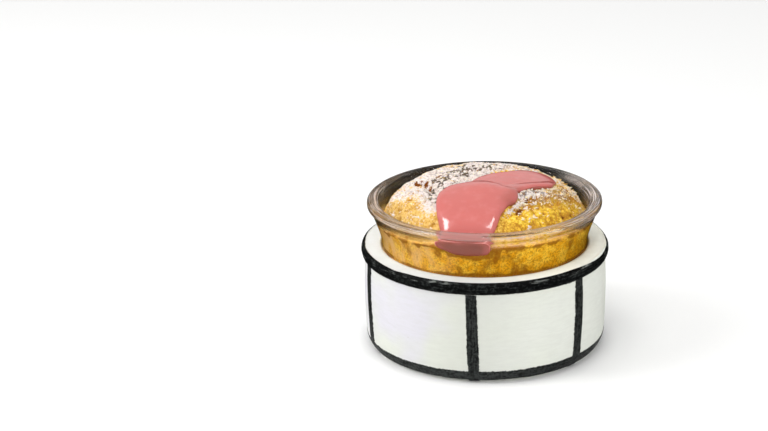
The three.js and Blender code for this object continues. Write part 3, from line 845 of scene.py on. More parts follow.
def sugar_grain(colours):
    """Dry white sugar, creamier on the crumbs it coats."""
    w = Weave("icing_sugar_grains")
    place = w.place()
    body = w.coats(
        colours.sugar,
        (w.field("cream"), colours.cream),
        (w.ramp(w.noise(place, 0.0006, 3.0), 0.45, 0.8, 0, 0.35), colours.pale),
    )
    return w.finish(
        Base_Color=body, Roughness=0.8, Normal=w.bump(w.noise(place, 0.0003, 3.0), 0.0002, 0.5),
        Subsurface_Weight=0.15, Subsurface_Radius=(1.0, 0.8, 0.6), Subsurface_Scale=0.0005,
    )


def crumb_grain(colours):
    """Baked crumbs, from amber through pale and cream to sugared by their own tone."""
    w = Weave("crust_crumbs")
    place = w.place()
    tone = w.field("cream")
    body = w.coats(
        colours.amber,
        (w.ramp(tone, 0.0, 0.4), colours.pale),
        (w.ramp(tone, 0.35, 0.65), colours.cream),
        (w.ramp(tone, 0.75, 1.2), colours.sugar),
        (w.ramp(w.noise(place, 0.0006, 3.0), 0.5, 0.8, 0, 0.4), colours.pale),
    )
    return w.finish(
        Base_Color=body, Roughness=0.8, Normal=w.bump(w.noise(place, 0.0004, 3.0), 0.0003, 0.6),
        Subsurface_Weight=0.12, Subsurface_Radius=(1.0, 0.5, 0.2), Subsurface_Scale=0.0007,
    )


def plain_table(colours):
    """Pale matt table top."""
    w = Weave("pale_table")
    shade = w.ramp(w.noise(w.place(), 0.4, 2.0), 0.3, 0.7, 0, 0.02)
    return w.finish(Base_Color=w.blend(shade, colours.floor, FLOOR_SHADE), Roughness=0.7)


def black_card():
    """Matt black card."""
    w = Weave("black_card")
    return w.finish(Base_Color=CARD_BLACK, Roughness=0.9, Specular_IOR_Level=0.0)


# ---- Form of the glass ----


def glass_radius(z, radius, flare):
    """Body radius with its taper, and slope * softness * log(1 + e^((z - height) / softness)) of flare."""
    slope, height, softness = flare
    taper = BODY_TAPER * (1 - np.minimum(z / HOLDER_TOP, 1))
    return radius - taper + slope * softness * np.log1p(np.exp((z - height) / softness))


def glass_inner(z):
    """Radius of the glass's inner wall at a height."""
    return glass_radius(np.asarray(z, float), BODY_INNER, INNER_FLARE)


def glass_outer(z):
    """Radius of the glass's outer wall at a height."""
    return glass_radius(np.asarray(z, float), BODY_OUTER, OUTER_FLARE)


def corner_round(wall, floor, size, steps):
    """Quarter circle from a floor up to a wall, as radii and heights."""
    turn = np.linspace(0, math.pi / 2, steps)
    return np.stack([wall - size + size * np.sin(turn), floor + size - size * np.cos(turn)], axis=-1)


# ---- Form of the crust ----


class Crust:
    """The souffle's surface, addressed by an angle and a length measured over it from its middle."""

    def __init__(self, sizes):
        self.sizes = sizes
        turn = np.linspace(0, math.pi / 2, 2400)
        radius = SHOULDER_RADIUS * np.sin(turn) ** (2 / CROWN_FLATNESS)
        rise = sizes.crown_rise / MM
        height = SHOULDER_HEIGHT + rise * np.clip(np.cos(turn), 0, 1) ** (2 / CROWN_ROUNDNESS)
        self.run = run_along(np.stack([radius, height], axis=-1))
        self.radius, self.height = radius, height
        step = np.hypot(np.gradient(radius), np.gradient(height))
        self.out = -np.gradient(height) / step
        self.up = np.gradient(radius) / step
        self.crown = self.run[-1]
        self.draw_lumps()
        self.draw_detail()

    def spread(self, radius, turn):
        """Even places over the crown, from two rows of numbers from 0 to 1."""
        radius, turn = self.crown * np.sqrt(radius), 2 * math.pi * turn
        return np.stack([radius * np.sin(turn), -radius * np.cos(turn)], axis=-1)

    def draw_lumps(self):
        """Repeats the solid's own stream of draws, so that its lumps are in the same places."""
        state, draws = LUMP_SEED, []
        for _ in range(3 * LUMP_COUNT):
            state = (state * 1664525 + 1013904223) % 4294967296
            draws.append(state / 4294967296)
        radius, turn, size = np.array(draws).reshape(-1, 3).T
        self.lump_sites = self.spread(radius, turn)
        self.lump_reach = mix(LUMP_REACH[0], LUMP_REACH[1], size)

    def draw_detail(self):
        """Seeded places of the pits and of the crusty nodules."""
        draw = np.random.default_rng(self.sizes.seed)
        pits, nodules = self.sizes.pit_count, self.sizes.nodule_count
        self.pit_sites = self.spread(draw.random(pits), draw.random(pits))
        self.pit_reach = mix(*PIT_REACH, draw.random(pits) ** 2)
        spine = along_path(RIGHT_CREST, draw.random(nodules))
        self.nodule_sites = spine + draw.normal(0, 1, spine.shape) * NODULE_SPREAD
        self.nodule_reach = mix(*NODULE_REACH, draw.random(nodules))

    def broad(self, x, y):
        """Sum of height * e^(-(distance / reach)^2) over the rises and hollows."""
        return sum(h * bell(path_distance(x, y, path), reach) for path, reach, h in RELIEF)

    def lumps(self, x, y):
        """The tallest lump at each place."""
        rise = self.sizes.lump_height / MM * self.lump_reach / LUMP_REACH[1]
        return caps(x, y, self.lump_sites, self.lump_reach, rise)

    def level(self, x, y):
        """Broad relief with the lumps levelled, as sauce lies over them."""
        return self.broad(x, y) + self.sizes.lump_height / MM / 3

    def filled(self, x, y):
        """The level with its hollows half filled, as the top of the sauce has it."""
        level = self.level(x, y)
        return np.where(level < 0, 0.15 * level, level)

    def hollows(self, x, y):
        """Fine relief as a height, a hollowness from 0 to 1.4 and cracks in the sugar from 0 to 1.

        Clumps and crumbs are 1 - e^-(noise / width)^2: creases where the noise crosses zero.
        Pits and nodules are caps, and the split is a soft trench with crags in it.
        """
        plane = on_plane(x, y)
        warp = np.stack([soft_noise(plane, 4.0, 3), soft_noise(plane, 4.0, 4), 0 * x], axis=-1)
        bent = plane + 1.2 * warp
        rough = mix(0.42, 1.0, ease(-8, 10, x))
        clump = 1 - bell(soft_noise(bent, 2.4, 7), CREASE_WIDTH)
        crumb = 1 - bell(soft_noise(bent, 1.15, 8), CREASE_WIDTH)
        fine = soft_noise(plane, 0.8, 9)
        pits = caps(x, y, self.pit_sites, self.pit_reach, self.pit_reach * 0.75)
        nodules = caps(x, y, self.nodule_sites, self.nodule_reach, self.nodule_reach * 0.5)
        split = bell(path_distance(x, y, SPLIT_PATH), 1.6)
        crags = split * (0.9 * soft_noise(plane, 1.5, 12) - 0.35)
        height = rough * self.sizes.clump_depth / MM * (clump - 0.75)
        height = height + rough * self.sizes.crumb_depth / MM * (crumb - 0.7 + 0.35 * fine)
        crack = bell(soft_noise((bent + 31.0) * (1, 0.55, 1), 1.05, 13), 0.26)
        crack = crack * ease(-0.45, 0.0, soft_noise(plane * (1, 0.6, 1), 1.9, 14))
        crack = crack * mix(0.3, 1, ease(-23.5, -19, x))
        cracked = bell(path_distance(x, y, CRACKED_PATH), 6.5, 4)
        cracked = cracked + 0.35 * bell(path_distance(x, y, RIGHT_CREST), 4.0, 4)
        crack = crack * np.clip(cracked, 0.3, 1)
        height = height - pits + nodules - 0.35 * ease(0, 0.3, nodules) + crags - 0.5 * crack
        hollow = 0.5 * (1 - clump) + 0.4 * (1 - crumb) + np.clip(pits * 1.2, 0, 1) - 0.5 * (nodules > 0.12)
        return height, np.clip(hollow * rough, 0, 1.4), crack

    def contact(self, turn):
        """Height at which the crust meets the glass."""
        wave = sum(size * np.sin(np.radians(count * turn + start)) for count, start, size in CONTACT_WAVES)
        return CONTACT_HEIGHT + CONTACT_WAVE * wave - CONTACT_DROP * self.tongue_share(turn)

    @staticmethod
    def tongue_share(turn):
        """1 behind the sauce tongue, easing to 0 past both of its sides."""
        turn = signed_degrees(turn)
        return ease(-29, -15, turn) * (1 - ease(0.5, 5.5, turn))

    def points(self, turn, run, lift, relief=None, detail=0.0, gap=0.0):
        """Points of the crown up to its shoulder, then of the flank down to the glass.

        The crown is r^flatness + h^roundness = 1 by its run, moved along its normal by the
        lift, the faded relief and the detail. The flank falls from shoulder to contact.
        """
        turn, run = np.broadcast_arrays(np.asarray(turn, float), np.asarray(run, float))
        x, y = level_place(turn, run)
        on_crown = np.minimum(run, self.crown)
        radius = np.interp(on_crown, self.run, self.radius)
        height = np.interp(on_crown, self.run, self.height)
        fade = 1 - ease(self.crown - 5, self.crown, run)
        raised = lift + detail + (fade * relief(x, y) if relief else 0)
        pull = CONTACT_PULL * self.tongue_share(turn)
        crown_radius = radius + np.interp(on_crown, self.run, self.out) * raised
        crown_radius = crown_radius - pull * ease(self.crown - 6, self.crown, run)
        crown_height = height + np.interp(on_crown, self.run, self.up) * raised
        down = np.clip((run - self.crown) / FLANK_LENGTH, 0, 1)
        contact = self.contact(turn)
        flank_radius = mix(SHOULDER_RADIUS - pull, glass_inner(contact) + gap, down ** 2.5)
        flank_radius = flank_radius + (lift + detail) * (1 - down ** 3)
        flank_height = mix(SHOULDER_HEIGHT, contact, down)
        past = run > self.crown
        return polar(
            turn, np.where(past, flank_radius, np.maximum(crown_radius, 0)),
            np.where(past, flank_height, crown_height),
        )


def fall_at(x, y, falls):
    """How thickly something lies: the largest weight * e^(-(distance / reach)^2) of its falls."""
    fall = np.zeros(np.shape(x))
    for path, reach, weight in falls:
        fall = np.maximum(fall, weight * bell(path_distance(x, y, path), reach))
    return fall


# ---- Pieces ----


def wall_radius(z):
    """Radius of the bare holder: a quarter ellipse at the foot, then a faint barrel."""
    rise = np.clip(1 - z / FOOT_ROUNDING, 0, 1)
    foot = FOOT_RADIUS + (WALL_RADIUS - FOOT_RADIUS) * np.sqrt(1 - rise * rise)
    along = np.clip((z - FOOT_ROUNDING) / (BEAD_BOTTOM - FOOT_ROUNDING), 0, 1)
    return foot + WALL_BULGE * np.sin(math.pi * along)


def holder_profile(bead_proud):
    """The holder's section from its underside to the floor of its well.

    Returns radii, heights and what each point belongs to: underside, wall, bead or top.
    """
    foot_z = FOOT_ROUNDING * (1 - np.cos(np.linspace(0.08, math.pi / 2, 30)))
    wall_z = np.linspace(FOOT_ROUNDING, BEAD_BOTTOM - 0.1, 34)[1:]
    turn = np.radians(np.linspace(*BEAD_ARC, 30))
    middle, half = (BEAD_BOTTOM + BEAD_TOP) / 2, (BEAD_TOP - BEAD_BOTTOM) / 2
    runs = [
        ([[r, FOOT_RECESS] for r in (8, 22, FOOT_RING_INNER)], UNDERSIDE),
        ([[FOOT_RING_INNER + 0.5, 0.2], [FOOT_RING_INNER + 0.9, 0], [FOOT_RADIUS - 0.3, 0]], UNDERSIDE),
        (np.stack([wall_radius(foot_z), foot_z], axis=-1), WALL),
        (np.stack([wall_radius(wall_z), wall_z], axis=-1), WALL),
        (np.stack([WALL_RADIUS + bead_proud * np.cos(turn), middle + half * np.sin(turn)], axis=-1), BEAD),
        (RIM_EDGE, TOP),
        ([[r, HOLDER_TOP] for r in np.linspace(46.4, WELL_RADIUS + 0.8, 8)], TOP),
        (corner_round(-WELL_RADIUS, HOLDER_TOP - WELL_MOUTH, WELL_MOUTH, 5)[::-1] * (-1, 1), TOP),
        ([[WELL_RADIUS, z] for z in np.linspace(38, WELL_FLOOR + WELL_CORNER, 6)], TOP),
        (corner_round(WELL_RADIUS, WELL_FLOOR, WELL_CORNER, 7)[::-1], TOP),
        ([[24, WELL_FLOOR], [10, WELL_FLOOR]], TOP),
    ]
    profile = np.concatenate([run for run, _ in runs])
    kind = np.concatenate([np.full(len(run), mark) for run, mark in runs])
    return profile[:, :1], profile[:, 1:], kind[:, None]


def holder_columns():
    """Angles of the columns at the foot and at the bead, and the distance inside an upright line."""
    foot, head, inside = [], [], []
    per_degree = math.radians(1) * WALL_RADIUS
    edge = np.array(EDGE_COLUMNS)
    panel = np.linspace(0, 1, PANEL_COLUMNS)[1:-1]
    following = UPRIGHT_LINES[1:] + UPRIGHT_LINES[:1]
    for k, (line, nxt) in enumerate(zip(UPRIGHT_LINES, following)):
        wrap = 360 if k == len(UPRIGHT_LINES) - 1 else 0
        half = line[2] / 2
        inner = np.linspace(-half + 1.4, half - 1.4, 4)
        across = np.concatenate([-half + edge, inner, (half - edge)[::-1]])
        for bank, place in ((foot, 1), (head, 0)):
            start = line[place] + (half + 0.5) / per_degree
            end = nxt[place] + wrap - (nxt[2] / 2 + 0.5) / per_degree
            bank.append(np.concatenate([line[place] + across / per_degree, mix(start, end, panel)]))
        gap = (end - start) * per_degree
        reach = np.minimum(panel, 1 - panel) * gap + 0.5
        inside.append(np.concatenate([half - np.abs(across), -reach]))
    return np.concatenate(foot), np.concatenate(head), np.concatenate(inside)


def build_holder(sizes, colours):
    """The pot: its section carried round, with the paint raised inside uneven brushed edges.

    The paint field is the distance inside the nearest painted edge: the largest of those of
    the upright lines, the foot band and the bead, each moved by the brush's wander.
    """
    radius, z, kind = holder_profile(sizes.bead_proud / MM)
    foot, head, inside_line = holder_columns()
    turn = mix(foot[None], head[None], ease(FOOT_BAND_TOP, BEAD_BOTTOM, z))
    radius, z = radius + 0 * turn, z + 0 * turn
    on_wall, on_bead, on_top = kind == WALL, kind == BEAD, kind == TOP
    signed = signed_degrees(turn)
    wander = sizes.brush_wander / MM
    around = polar(turn, 14.0, 0 * turn)
    uneven = soft_noise(around, 3.2, 31) + 0.5 * soft_noise(around, 1.3, 32)
    upright = inside_line[None] + wander * soft_noise(on_plane(foot[None] * 3, z * 1.0), 5.0, 33)
    foot_band = np.minimum(z - FOOT_BAND_BOTTOM, FOOT_BAND_TOP - z) + wander * uneven
    below_bead = z - BEAD_BOTTOM - 0.15 + 1.4 * wander * uneven
    level_bands = np.maximum(foot_band, below_bead)
    paint = np.where(on_wall, np.maximum(upright, level_bands), -3)
    paint = np.where(on_bead, np.maximum(below_bead, 0.05), paint)
    held_back = sum(reach * bell(signed - middle, width) for middle, width, reach in HELD_BACK)
    held_back = held_back + 0.3 * ease(88, 104, np.abs(signed))
    over_edge = radius - PAINT_REACH + np.clip(BEAD_TOP - z, 0, 9) * on_bead - held_back + wander * uneven
    topmost = (on_bead & (z > (BEAD_BOTTOM + BEAD_TOP) / 2)) | (on_top & (z > HOLDER_TOP - 0.3))
    paint = np.where(topmost, over_edge, paint)
    raised = ease(-0.15, 0.5, paint) * (sizes.paint_relief / MM) * on_wall
    waviness = 0.1 * soft_noise(polar(turn, radius, z), 17.0, 35) * (kind > UNDERSIDE) * (z > 0.5)
    bead_lump = on_bead * (0.14 * uneven + 0.07 * soft_noise(around, 0.55, 36))
    rings = polar(turn, radius + raised + waviness + bead_lump, z + 0.12 * on_bead * uneven)
    arc = np.radians(turn) * WALL_RADIUS
    run_up = np.stack([z, arc, 0 * z], axis=-1)
    run_round = np.stack([arc, z + radius, 0 * z], axis=-1)
    on_upright = (upright > level_bands) & on_wall
    foot_grey = mix(1.0, 0.6, ease(0, 30, signed)) * (z < FOOT_BAND_TOP + 1.5) * on_wall
    fields = {
        "paint": paint,
        "stroke": np.where(on_upright[..., None], run_up, run_round),
        # Painted highlight along the top of the bead.
        "ridge": on_bead * bell(z - BEAD_TOP + 0.9, 0.8) * (1 + soft_noise(around, 4.5, 37)),
        "top": on_top * ease(38, 41, z),
        "greyed": np.where(on_upright, 0.7, foot_grey),
    }
    pot = ring_skin("holder_pot", rings, (0, 0, FOOT_RECESS), (0, 0, WELL_FLOOR), fields)
    return finish_piece(pot, "holder", glaze_and_paint(colours))


def ramekin_profile(top):
    """The glass's section from its underside over the lip to its floor, as radii and heights.

    The lip is a squared-off round: sign(c) * |c|^squareness of the cosine and of the sine.
    """
    under, inside = GLASS_BASE + BASE_PUSH_UP, GLASS_BASE + GLASS_FLOOR
    corner = float(glass_outer(GLASS_BASE)) - BASE_RING[1]
    turn = np.radians(np.linspace(*LIP_ARC, 44))
    across, up = np.cos(turn), np.sin(turn)
    lip_height = top - LIP_HALF_HEIGHT + LIP_HALF_HEIGHT * np.sign(up) * np.abs(up) ** LIP_SQUARENESS
    lip_radius = LIP_MIDDLE + LIP_HALF_WIDTH * np.sign(across) * np.abs(across) ** LIP_SQUARENESS
    outside_z = np.linspace(14, LIP_NECK, 40)
    inside_z = np.linspace(56.6, 16.4, 40)
    return np.concatenate([
        [[8, under], [18, under], [BASE_RING[0], under], [BASE_RING[0] + 1.5, GLASS_BASE]],
        corner_round(float(glass_outer(GLASS_BASE + corner)), GLASS_BASE, corner, 10),
        np.stack([glass_outer(outside_z), outside_z], axis=-1),
        np.stack([lip_radius, lip_height], axis=-1),
        np.stack([glass_inner(inside_z), inside_z], axis=-1),
        corner_round(float(glass_inner(inside + WELL_CORNER)), inside, WELL_CORNER, 10)[::-1],
        [[22, inside], [9, inside]],
    ])


def lip_fields(profile, turn):
    """Fields that draw the lip's lines, each a product of soft steps and bells.

    They go by the angle, the height and the run along the section. lip says how far the dark lines
    show, pressed lines deepened as painted dark reflections; the haze field how far the milky lines
    show, partly painted light streaks with a painted glint line. The line-shade field marks painted
    dark lines under the lip and painted dark marks, veiled the pink veil before the tongue, the
    back-wall field painted shade on the inner wall at the sides and back, and quiet where the shine
    is held down.
    """
    z = profile[:, 1:]
    run = run_along(profile)[:, None]
    signed = signed_degrees(turn)
    from_front = np.abs(signed)
    across = ease(-40, 40, signed)
    to_left, to_right = ease(-16, -36, signed), ease(38, 62, signed)
    side = np.maximum(to_left, to_right)
    to_side = ease(50, 78, from_front)
    off_outside = 10 * (profile[:, 0] < LIP_MIDDLE)
    neck, brow = (run[np.argmin(np.abs(z[:, 0] - mark) + off_outside)] for mark in (LIP_NECK, LIP_BROW))
    crest = run[np.argmax(profile[:, 1])]
    left, right = TONGUE_VEIL
    before_tongue = ease(*left, signed) * ease(*right, signed)
    patchy = ease(-0.7, 0.2, soft_noise(polar(turn, 30.0, 0 * turn), 9.0, 42)) * (1 - 0.8 * before_tongue)
    # Dark lip lines, deepened as painted dark reflections, more on the left.
    lip = ease(mix(58.9, 53.0, side), mix(59.4, 57.0, side), z) * mix(0.85, 1.15, ease(25, 65, from_front))
    lip = lip * mix(1.25, 0.8, across)
    # Milky lip lines: partly haze, partly painted light streaks.
    haze_from = 59.2 - 2.6 * to_left - 4.4 * to_right
    hazed = ease(haze_from, haze_from + mix(0.4, 1.6, side), z) * ease(142, 118, from_front)
    hazed = hazed * mix(0.8, 1.5, ease(30, 75, from_front)) * mix(0.8, 1.15, across)
    hazed = hazed * np.maximum(ease(118, 92, from_front), 0.7 * ease(crest + 0.6, crest - 0.4, run))
    # A painted highlight line along the front of the lip.
    painted_glint = bell(run - brow + 0.95, 0.3) * patchy * (1 - side)
    # Painted dark lines: at the lip's neck on the sides, along its brow at the front.
    crease = bell(run - neck + 1.3 * to_side, 1.5) * to_side
    crease = np.maximum(crease, bell(run - brow, 0.5) * patchy * (1 - to_side))
    # Painted dark marks at the veil's ends.
    shade_marks = sum(weight * bell(signed - place, width) for place, width, weight in SHADE_MARKS)
    shade_marks = shade_marks * bell(run - brow - 0.05, 0.45)
    veiled = before_tongue * (1 - np.minimum(shade_marks, 1)) * ease(57.7, 58.2, z)
    # Painted shade on the inner wall at the sides and back, between the crumb and the lip.
    dusk = (run > crest) * ease(52.2, 53.6, z) * ease(58.0, 57.0, z) * ease(52, 80, from_front)
    return {
        "drawn": np.stack(np.broadcast_arrays(np.radians(turn) * LIP_MIDDLE, run, 0 * run), axis=-1),
        "lip": lip * (1 - 0.6 * before_tongue),
        "hazed": np.maximum(hazed, 1.1 * painted_glint) * (1 - before_tongue),
        "crease": np.maximum(crease, shade_marks),
        "veiled": veiled * ease(crest + 1.2, crest - 0.6, run),
        "dusk": dusk * mix(1.0, 0.35, ease(20, 60, signed) * ease(115, 95, signed)),
        "quiet": ease(82, 112, from_front) + 0 * z,
    }


def build_ramekin(sizes, colours):
    """The glass: its section with flare and rounded lip carried round, faintly uneven."""
    profile = ramekin_profile(sizes.glass_top / MM)
    turn = np.linspace(0, 360, GLASS_COLUMNS, endpoint=False)[None]
    radius, z = profile[:, :1], profile[:, 1:]
    ripple = sizes.glass_ripple / MM * soft_noise(polar(turn, 22.0, z + 0 * turn), 9.0, 41)
    above = ease(50, 58, z)
    rings = polar(turn, radius + 0.5 * ripple * above, z + ripple * above)
    ends = (0, 0, GLASS_BASE + BASE_PUSH_UP), (0, 0, GLASS_BASE + GLASS_FLOOR)
    glass = ring_skin("ramekin", rings, *ends, lip_fields(profile, turn))
    return finish_piece(glass, "glass_ramekin", pressed_glass(colours))


def souffle_rings(crust, turn, runs, detail):
    """Rings of the skin: a rounded floor and the wall pressed to the glass, then flank and crown."""
    upper = crust.points(
        turn, runs, 0, lambda a, b: crust.broad(a, b) + crust.lumps(a, b), detail, WALL_TOUCH
    )
    rounding = float(glass_inner(SOUFFLE_FLOOR + WELL_CORNER)) + WALL_TOUCH
    floor = corner_round(rounding, SOUFFLE_FLOOR, WELL_CORNER, 6)
    deep_z = np.linspace(17.5, 37.5, 6)[:, None] + 0 * turn
    shown_z = mix(crust.contact(turn), 40.0, np.linspace(1, 0, 25)[:-1, None])
    wall_z = np.concatenate([deep_z, shown_z])
    base = polar(turn, floor[:, :1] + 0 * turn, floor[:, 1:] + 0 * turn)
    return np.concatenate([base, polar(turn, glass_inner(wall_z) + WALL_TOUCH, wall_z)]), upper


def flank_fields(rings, contact, turn):
    """Fields of the crumb that is pressed to the glass: its browned parts with painted shade, and its
    creamy parts.
    """
    x, y, z = rings[..., 0], rings[..., 1], rings[..., 2]
    under_contact = contact - z
    ragged = 1.1 * soft_noise(rings * (1, 1, 0.6), 2.2, 59)
    # Painted shade along the contact line and at the height of the holder's top.
    edge_shade = 1.5 * bell(under_contact - 0.6 + ragged, 0.9) * ease(-0.6, 0.1, soft_noise(rings, 3.4, 60))
    edge_shade = edge_shade + 1.5 * bell(z - 41.0, 0.9)
    blotches = soft_noise(rings * (1, 1, 0.5), 4.0, 51)
    beside_tongue = bell(x - 3, 14) * (y < 0)
    curtain = ease(9, 2, under_contact) * np.clip(soft_noise(rings * (1, 1, 0.22), 4.4, 54) + 0.25, 0, 1)
    brown = 0.36 * edge_shade + 0.2 * blotches + 0.3 * beside_tongue
    brown = brown + 0.4 * curtain * ease(30, 12, np.abs(x + 12))
    veil = soft_noise(rings * (1, 1, 0.45), 3.2, 55)
    creamy = np.clip(0.95 * ease(-5, -27, x) + 0.6 * bell(under_contact + 0.2, 1.2), 0, 1)
    creamy = creamy * mix(0.4, 1, ease(-0.45, 0.4, veil + 0.25 * (x < -30)))
    unrolled = signed_degrees(turn) * DEGREE_SPAN + 0 * z
    to_tongue = path_distance(unrolled, z, tongue_curve(np.linspace(0, 1, 90)))
    # Painted shadow round the tongue.
    tongue_shadow = bell(to_tongue - 0.2, 1.1) * (z < 56)
    return {
        "brown": brown + 0.5 * tongue_shadow * ease(-0.5, 0.3, soft_noise(rings, 2.2, 61)),
        "creamy": creamy * (1 - tongue_shadow),
    }


def build_souffle(crust, colours):
    """The souffle: crown and flank rows over its relief, then the wall pressed to the glass."""
    turn = np.linspace(0, 360, SOUFFLE_COLUMNS, endpoint=False)[None]
    crown_runs = np.concatenate([[0.6, 1.6], np.arange(2.4, crust.crown, 0.33)])
    flank_runs = crust.crown + FLANK_LENGTH * np.linspace(0.15, 1, 6)
    runs = np.concatenate([crown_runs, flank_runs])[::-1, None]
    x, y = level_place(turn, runs)
    fine, hollow, crack = crust.hollows(x, y)
    detail_fade = 1 - 0.7 * ease(crust.crown - 1, crust.crown + FLANK_LENGTH, runs)
    lower, upper = souffle_rings(crust, turn, runs, fine * detail_fade * ease(0, 3, runs))
    rings = np.concatenate([lower, upper])

    def padded(values, low):
        """Field of the upper rows with one value for all the rows below them."""
        return np.concatenate([np.full(lower.shape[:2], float(low)), np.broadcast_to(values, hollow.shape)])

    level = on_plane(x, y)
    blobs = soft_noise(level, 1.25, 52)
    toasted = fall_at(x, y, TOAST_FALL)
    nicks = toasted * (0.9 + 0.8 * blobs)
    # The deepest hollows, and those on the right crest, are browned: partly toast, partly painted shade.
    sunk = np.clip((hollow - 0.75) * 0.9, 0, 1) * ease(-0.3, 0.4, soft_noise(level, 5.0, 53))
    warm = bell(path_distance(x, y, WARM_PATH), 6.5)
    warm = warm * mix(0.6, 1.0, ease(-0.8, 0.0, soft_noise(level, 3.0, 56)))
    toast = nicks + sunk + 0.6 * warm * np.clip(hollow + 0.3, 0, 1)
    bare = ease(crust.crown - 2, crust.crown + 2, runs) * ease(12, 2, y)
    bare = bare + 1.9 * toasted * ease(-0.35, 0.05, blobs + toasted - 1)
    pale_flecks = ease(crust.crown - 2.5, crust.crown, runs) * ease(-0.2, 0.3, soft_noise(upper, 1.7, 57))
    fleck = ease(crust.crown - 2.0, crust.crown + 0.3, runs) * ease(-0.35, 0.3, soft_noise(upper, 1.3, 58))
    to_left = 1 - ease(-14, 6, rings[..., 0] + 0.25 * rings[..., 1])
    fields = {
        "hollow": padded(hollow, 0.3),
        "toast": padded(np.clip(toast, 0, 1.2), 0),
        "crack": padded(crack, 0),
        "sugar": padded(fall_at(x, y, SUGAR_FALL) * np.clip(1 - bare, 0, 1), 0),
        "warm": padded(warm, 0),
        "soak": padded(ease(crust.crown + 0.7, crust.crown + FLANK_LENGTH - 0.05, runs), 1),
        "pale": np.clip(to_left + padded(0.8 * pale_flecks, 0), 0, 1),
        "fleck": padded(fleck * ease(-4, 6, x), 0),
        **flank_fields(rings, crust.contact(turn), turn),
    }
    top_height = SHOULDER_HEIGHT + crust.sizes.crown_rise / MM
    top = (0, 0, top_height + float(crust.broad(np.zeros(1), np.zeros(1))[0]))
    souffle = ring_skin("souffle_crumb", rings, (0, 0, SOUFFLE_FLOOR), top, fields)
    return finish_piece(souffle, "souffle", baked_crust(colours))


def shell_of(rings):
    """Closed rings with the middles of their first and last ring, as a ring skin takes them."""
    return rings, rings[0].mean(axis=0), rings[-1].mean(axis=0)


def pool_shell(crust, pool, depth, columns=240):
    """A pool as closed rings: an underside within the crust, then the top from its lip inwards.

    The top stands depth * sqrt(1 - share^7) over its edge, with share 1 at the outline.
    """
    middle = np.array(pool[0], float)
    edge = closed_curve(pool[1], np.linspace(0, 1, columns, endpoint=False))
    low_share = np.linspace(0.06, 1, 14)
    share = np.concatenate([low_share, 1 - np.linspace(0, 0.985, 34) ** 1.8])[:, None]
    place = middle + (edge[None] - middle) * share[..., None]
    x, y = place[..., 0], place[..., 1]
    (mx, my), reach, rise = SAUCE_MOUND
    mound = rise * np.exp(-(((x - mx) ** 2 + (y - my) ** 2) / reach ** 2))
    full = (depth + mound) * np.sqrt(1 - share ** 7)
    under = np.arange(len(share))[:, None] < len(low_share)
    lift = np.where(under, -SAUCE_SUNK, SAUCE_EDGE + full)
    turn = np.degrees(np.arctan2(x, -y))
    return shell_of(crust.points(
        turn, np.hypot(x, y), lift, lambda a, b: np.where(under, crust.level(a, b), crust.filled(a, b))
    ))


def tongue_shell(reach_in):
    """The tongue as closed rings from inside the crust out to just within the glass wall."""
    middle = np.array(TONGUE[0])
    edge = tongue_curve(np.linspace(0, 1, 200, endpoint=False)) / (DEGREE_SPAN, 1)
    share = np.concatenate([np.linspace(0.1, 1, 6), np.ones(5), np.linspace(0.96, 0.05, 14)])
    place = middle + (edge[None] - middle) * share[:, None, None]
    turn, z = place[..., 0], place[..., 1]
    out_share = np.concatenate([np.zeros(6), np.linspace(0.1, 0.95, 5), np.ones(14)])[:, None]
    return shell_of(polar(turn, mix(TONGUE_ROOT, glass_inner(z) + reach_in, out_share), z))


def join_shells(shells, voxel):
    """One object from overlapping shells, joined on a fine grid of voxels and smoothed."""
    parts = [ring_skin(f"sauce_shell_{k}", *shell) for k, shell in enumerate(shells)]
    sauce = bpy.data.objects.new("fruit_sauce", bpy.data.meshes.new("fruit_sauce"))
    bpy.context.scene.collection.objects.link(sauce)
    with bpy.context.temp_override(active_object=parts[0], selected_editable_objects=parts):
        bpy.ops.object.join()
    sauce.data = parts[0].data
    bpy.data.objects.remove(parts[0])
    grid = sauce.modifiers.new("join", "REMESH")
    grid.mode, grid.voxel_size, grid.use_smooth_shade = "VOXEL", voxel, True
    calm = sauce.modifiers.new("calm", "SMOOTH")
    calm.factor, calm.iterations = 0.5, 6
    settled = bpy.data.meshes.new_from_object(sauce.evaluated_get(bpy.context.evaluated_depsgraph_get()))
    sauce.modifiers.clear()
    sauce.data = settled
    settled.name = "fruit_sauce"
    return sauce


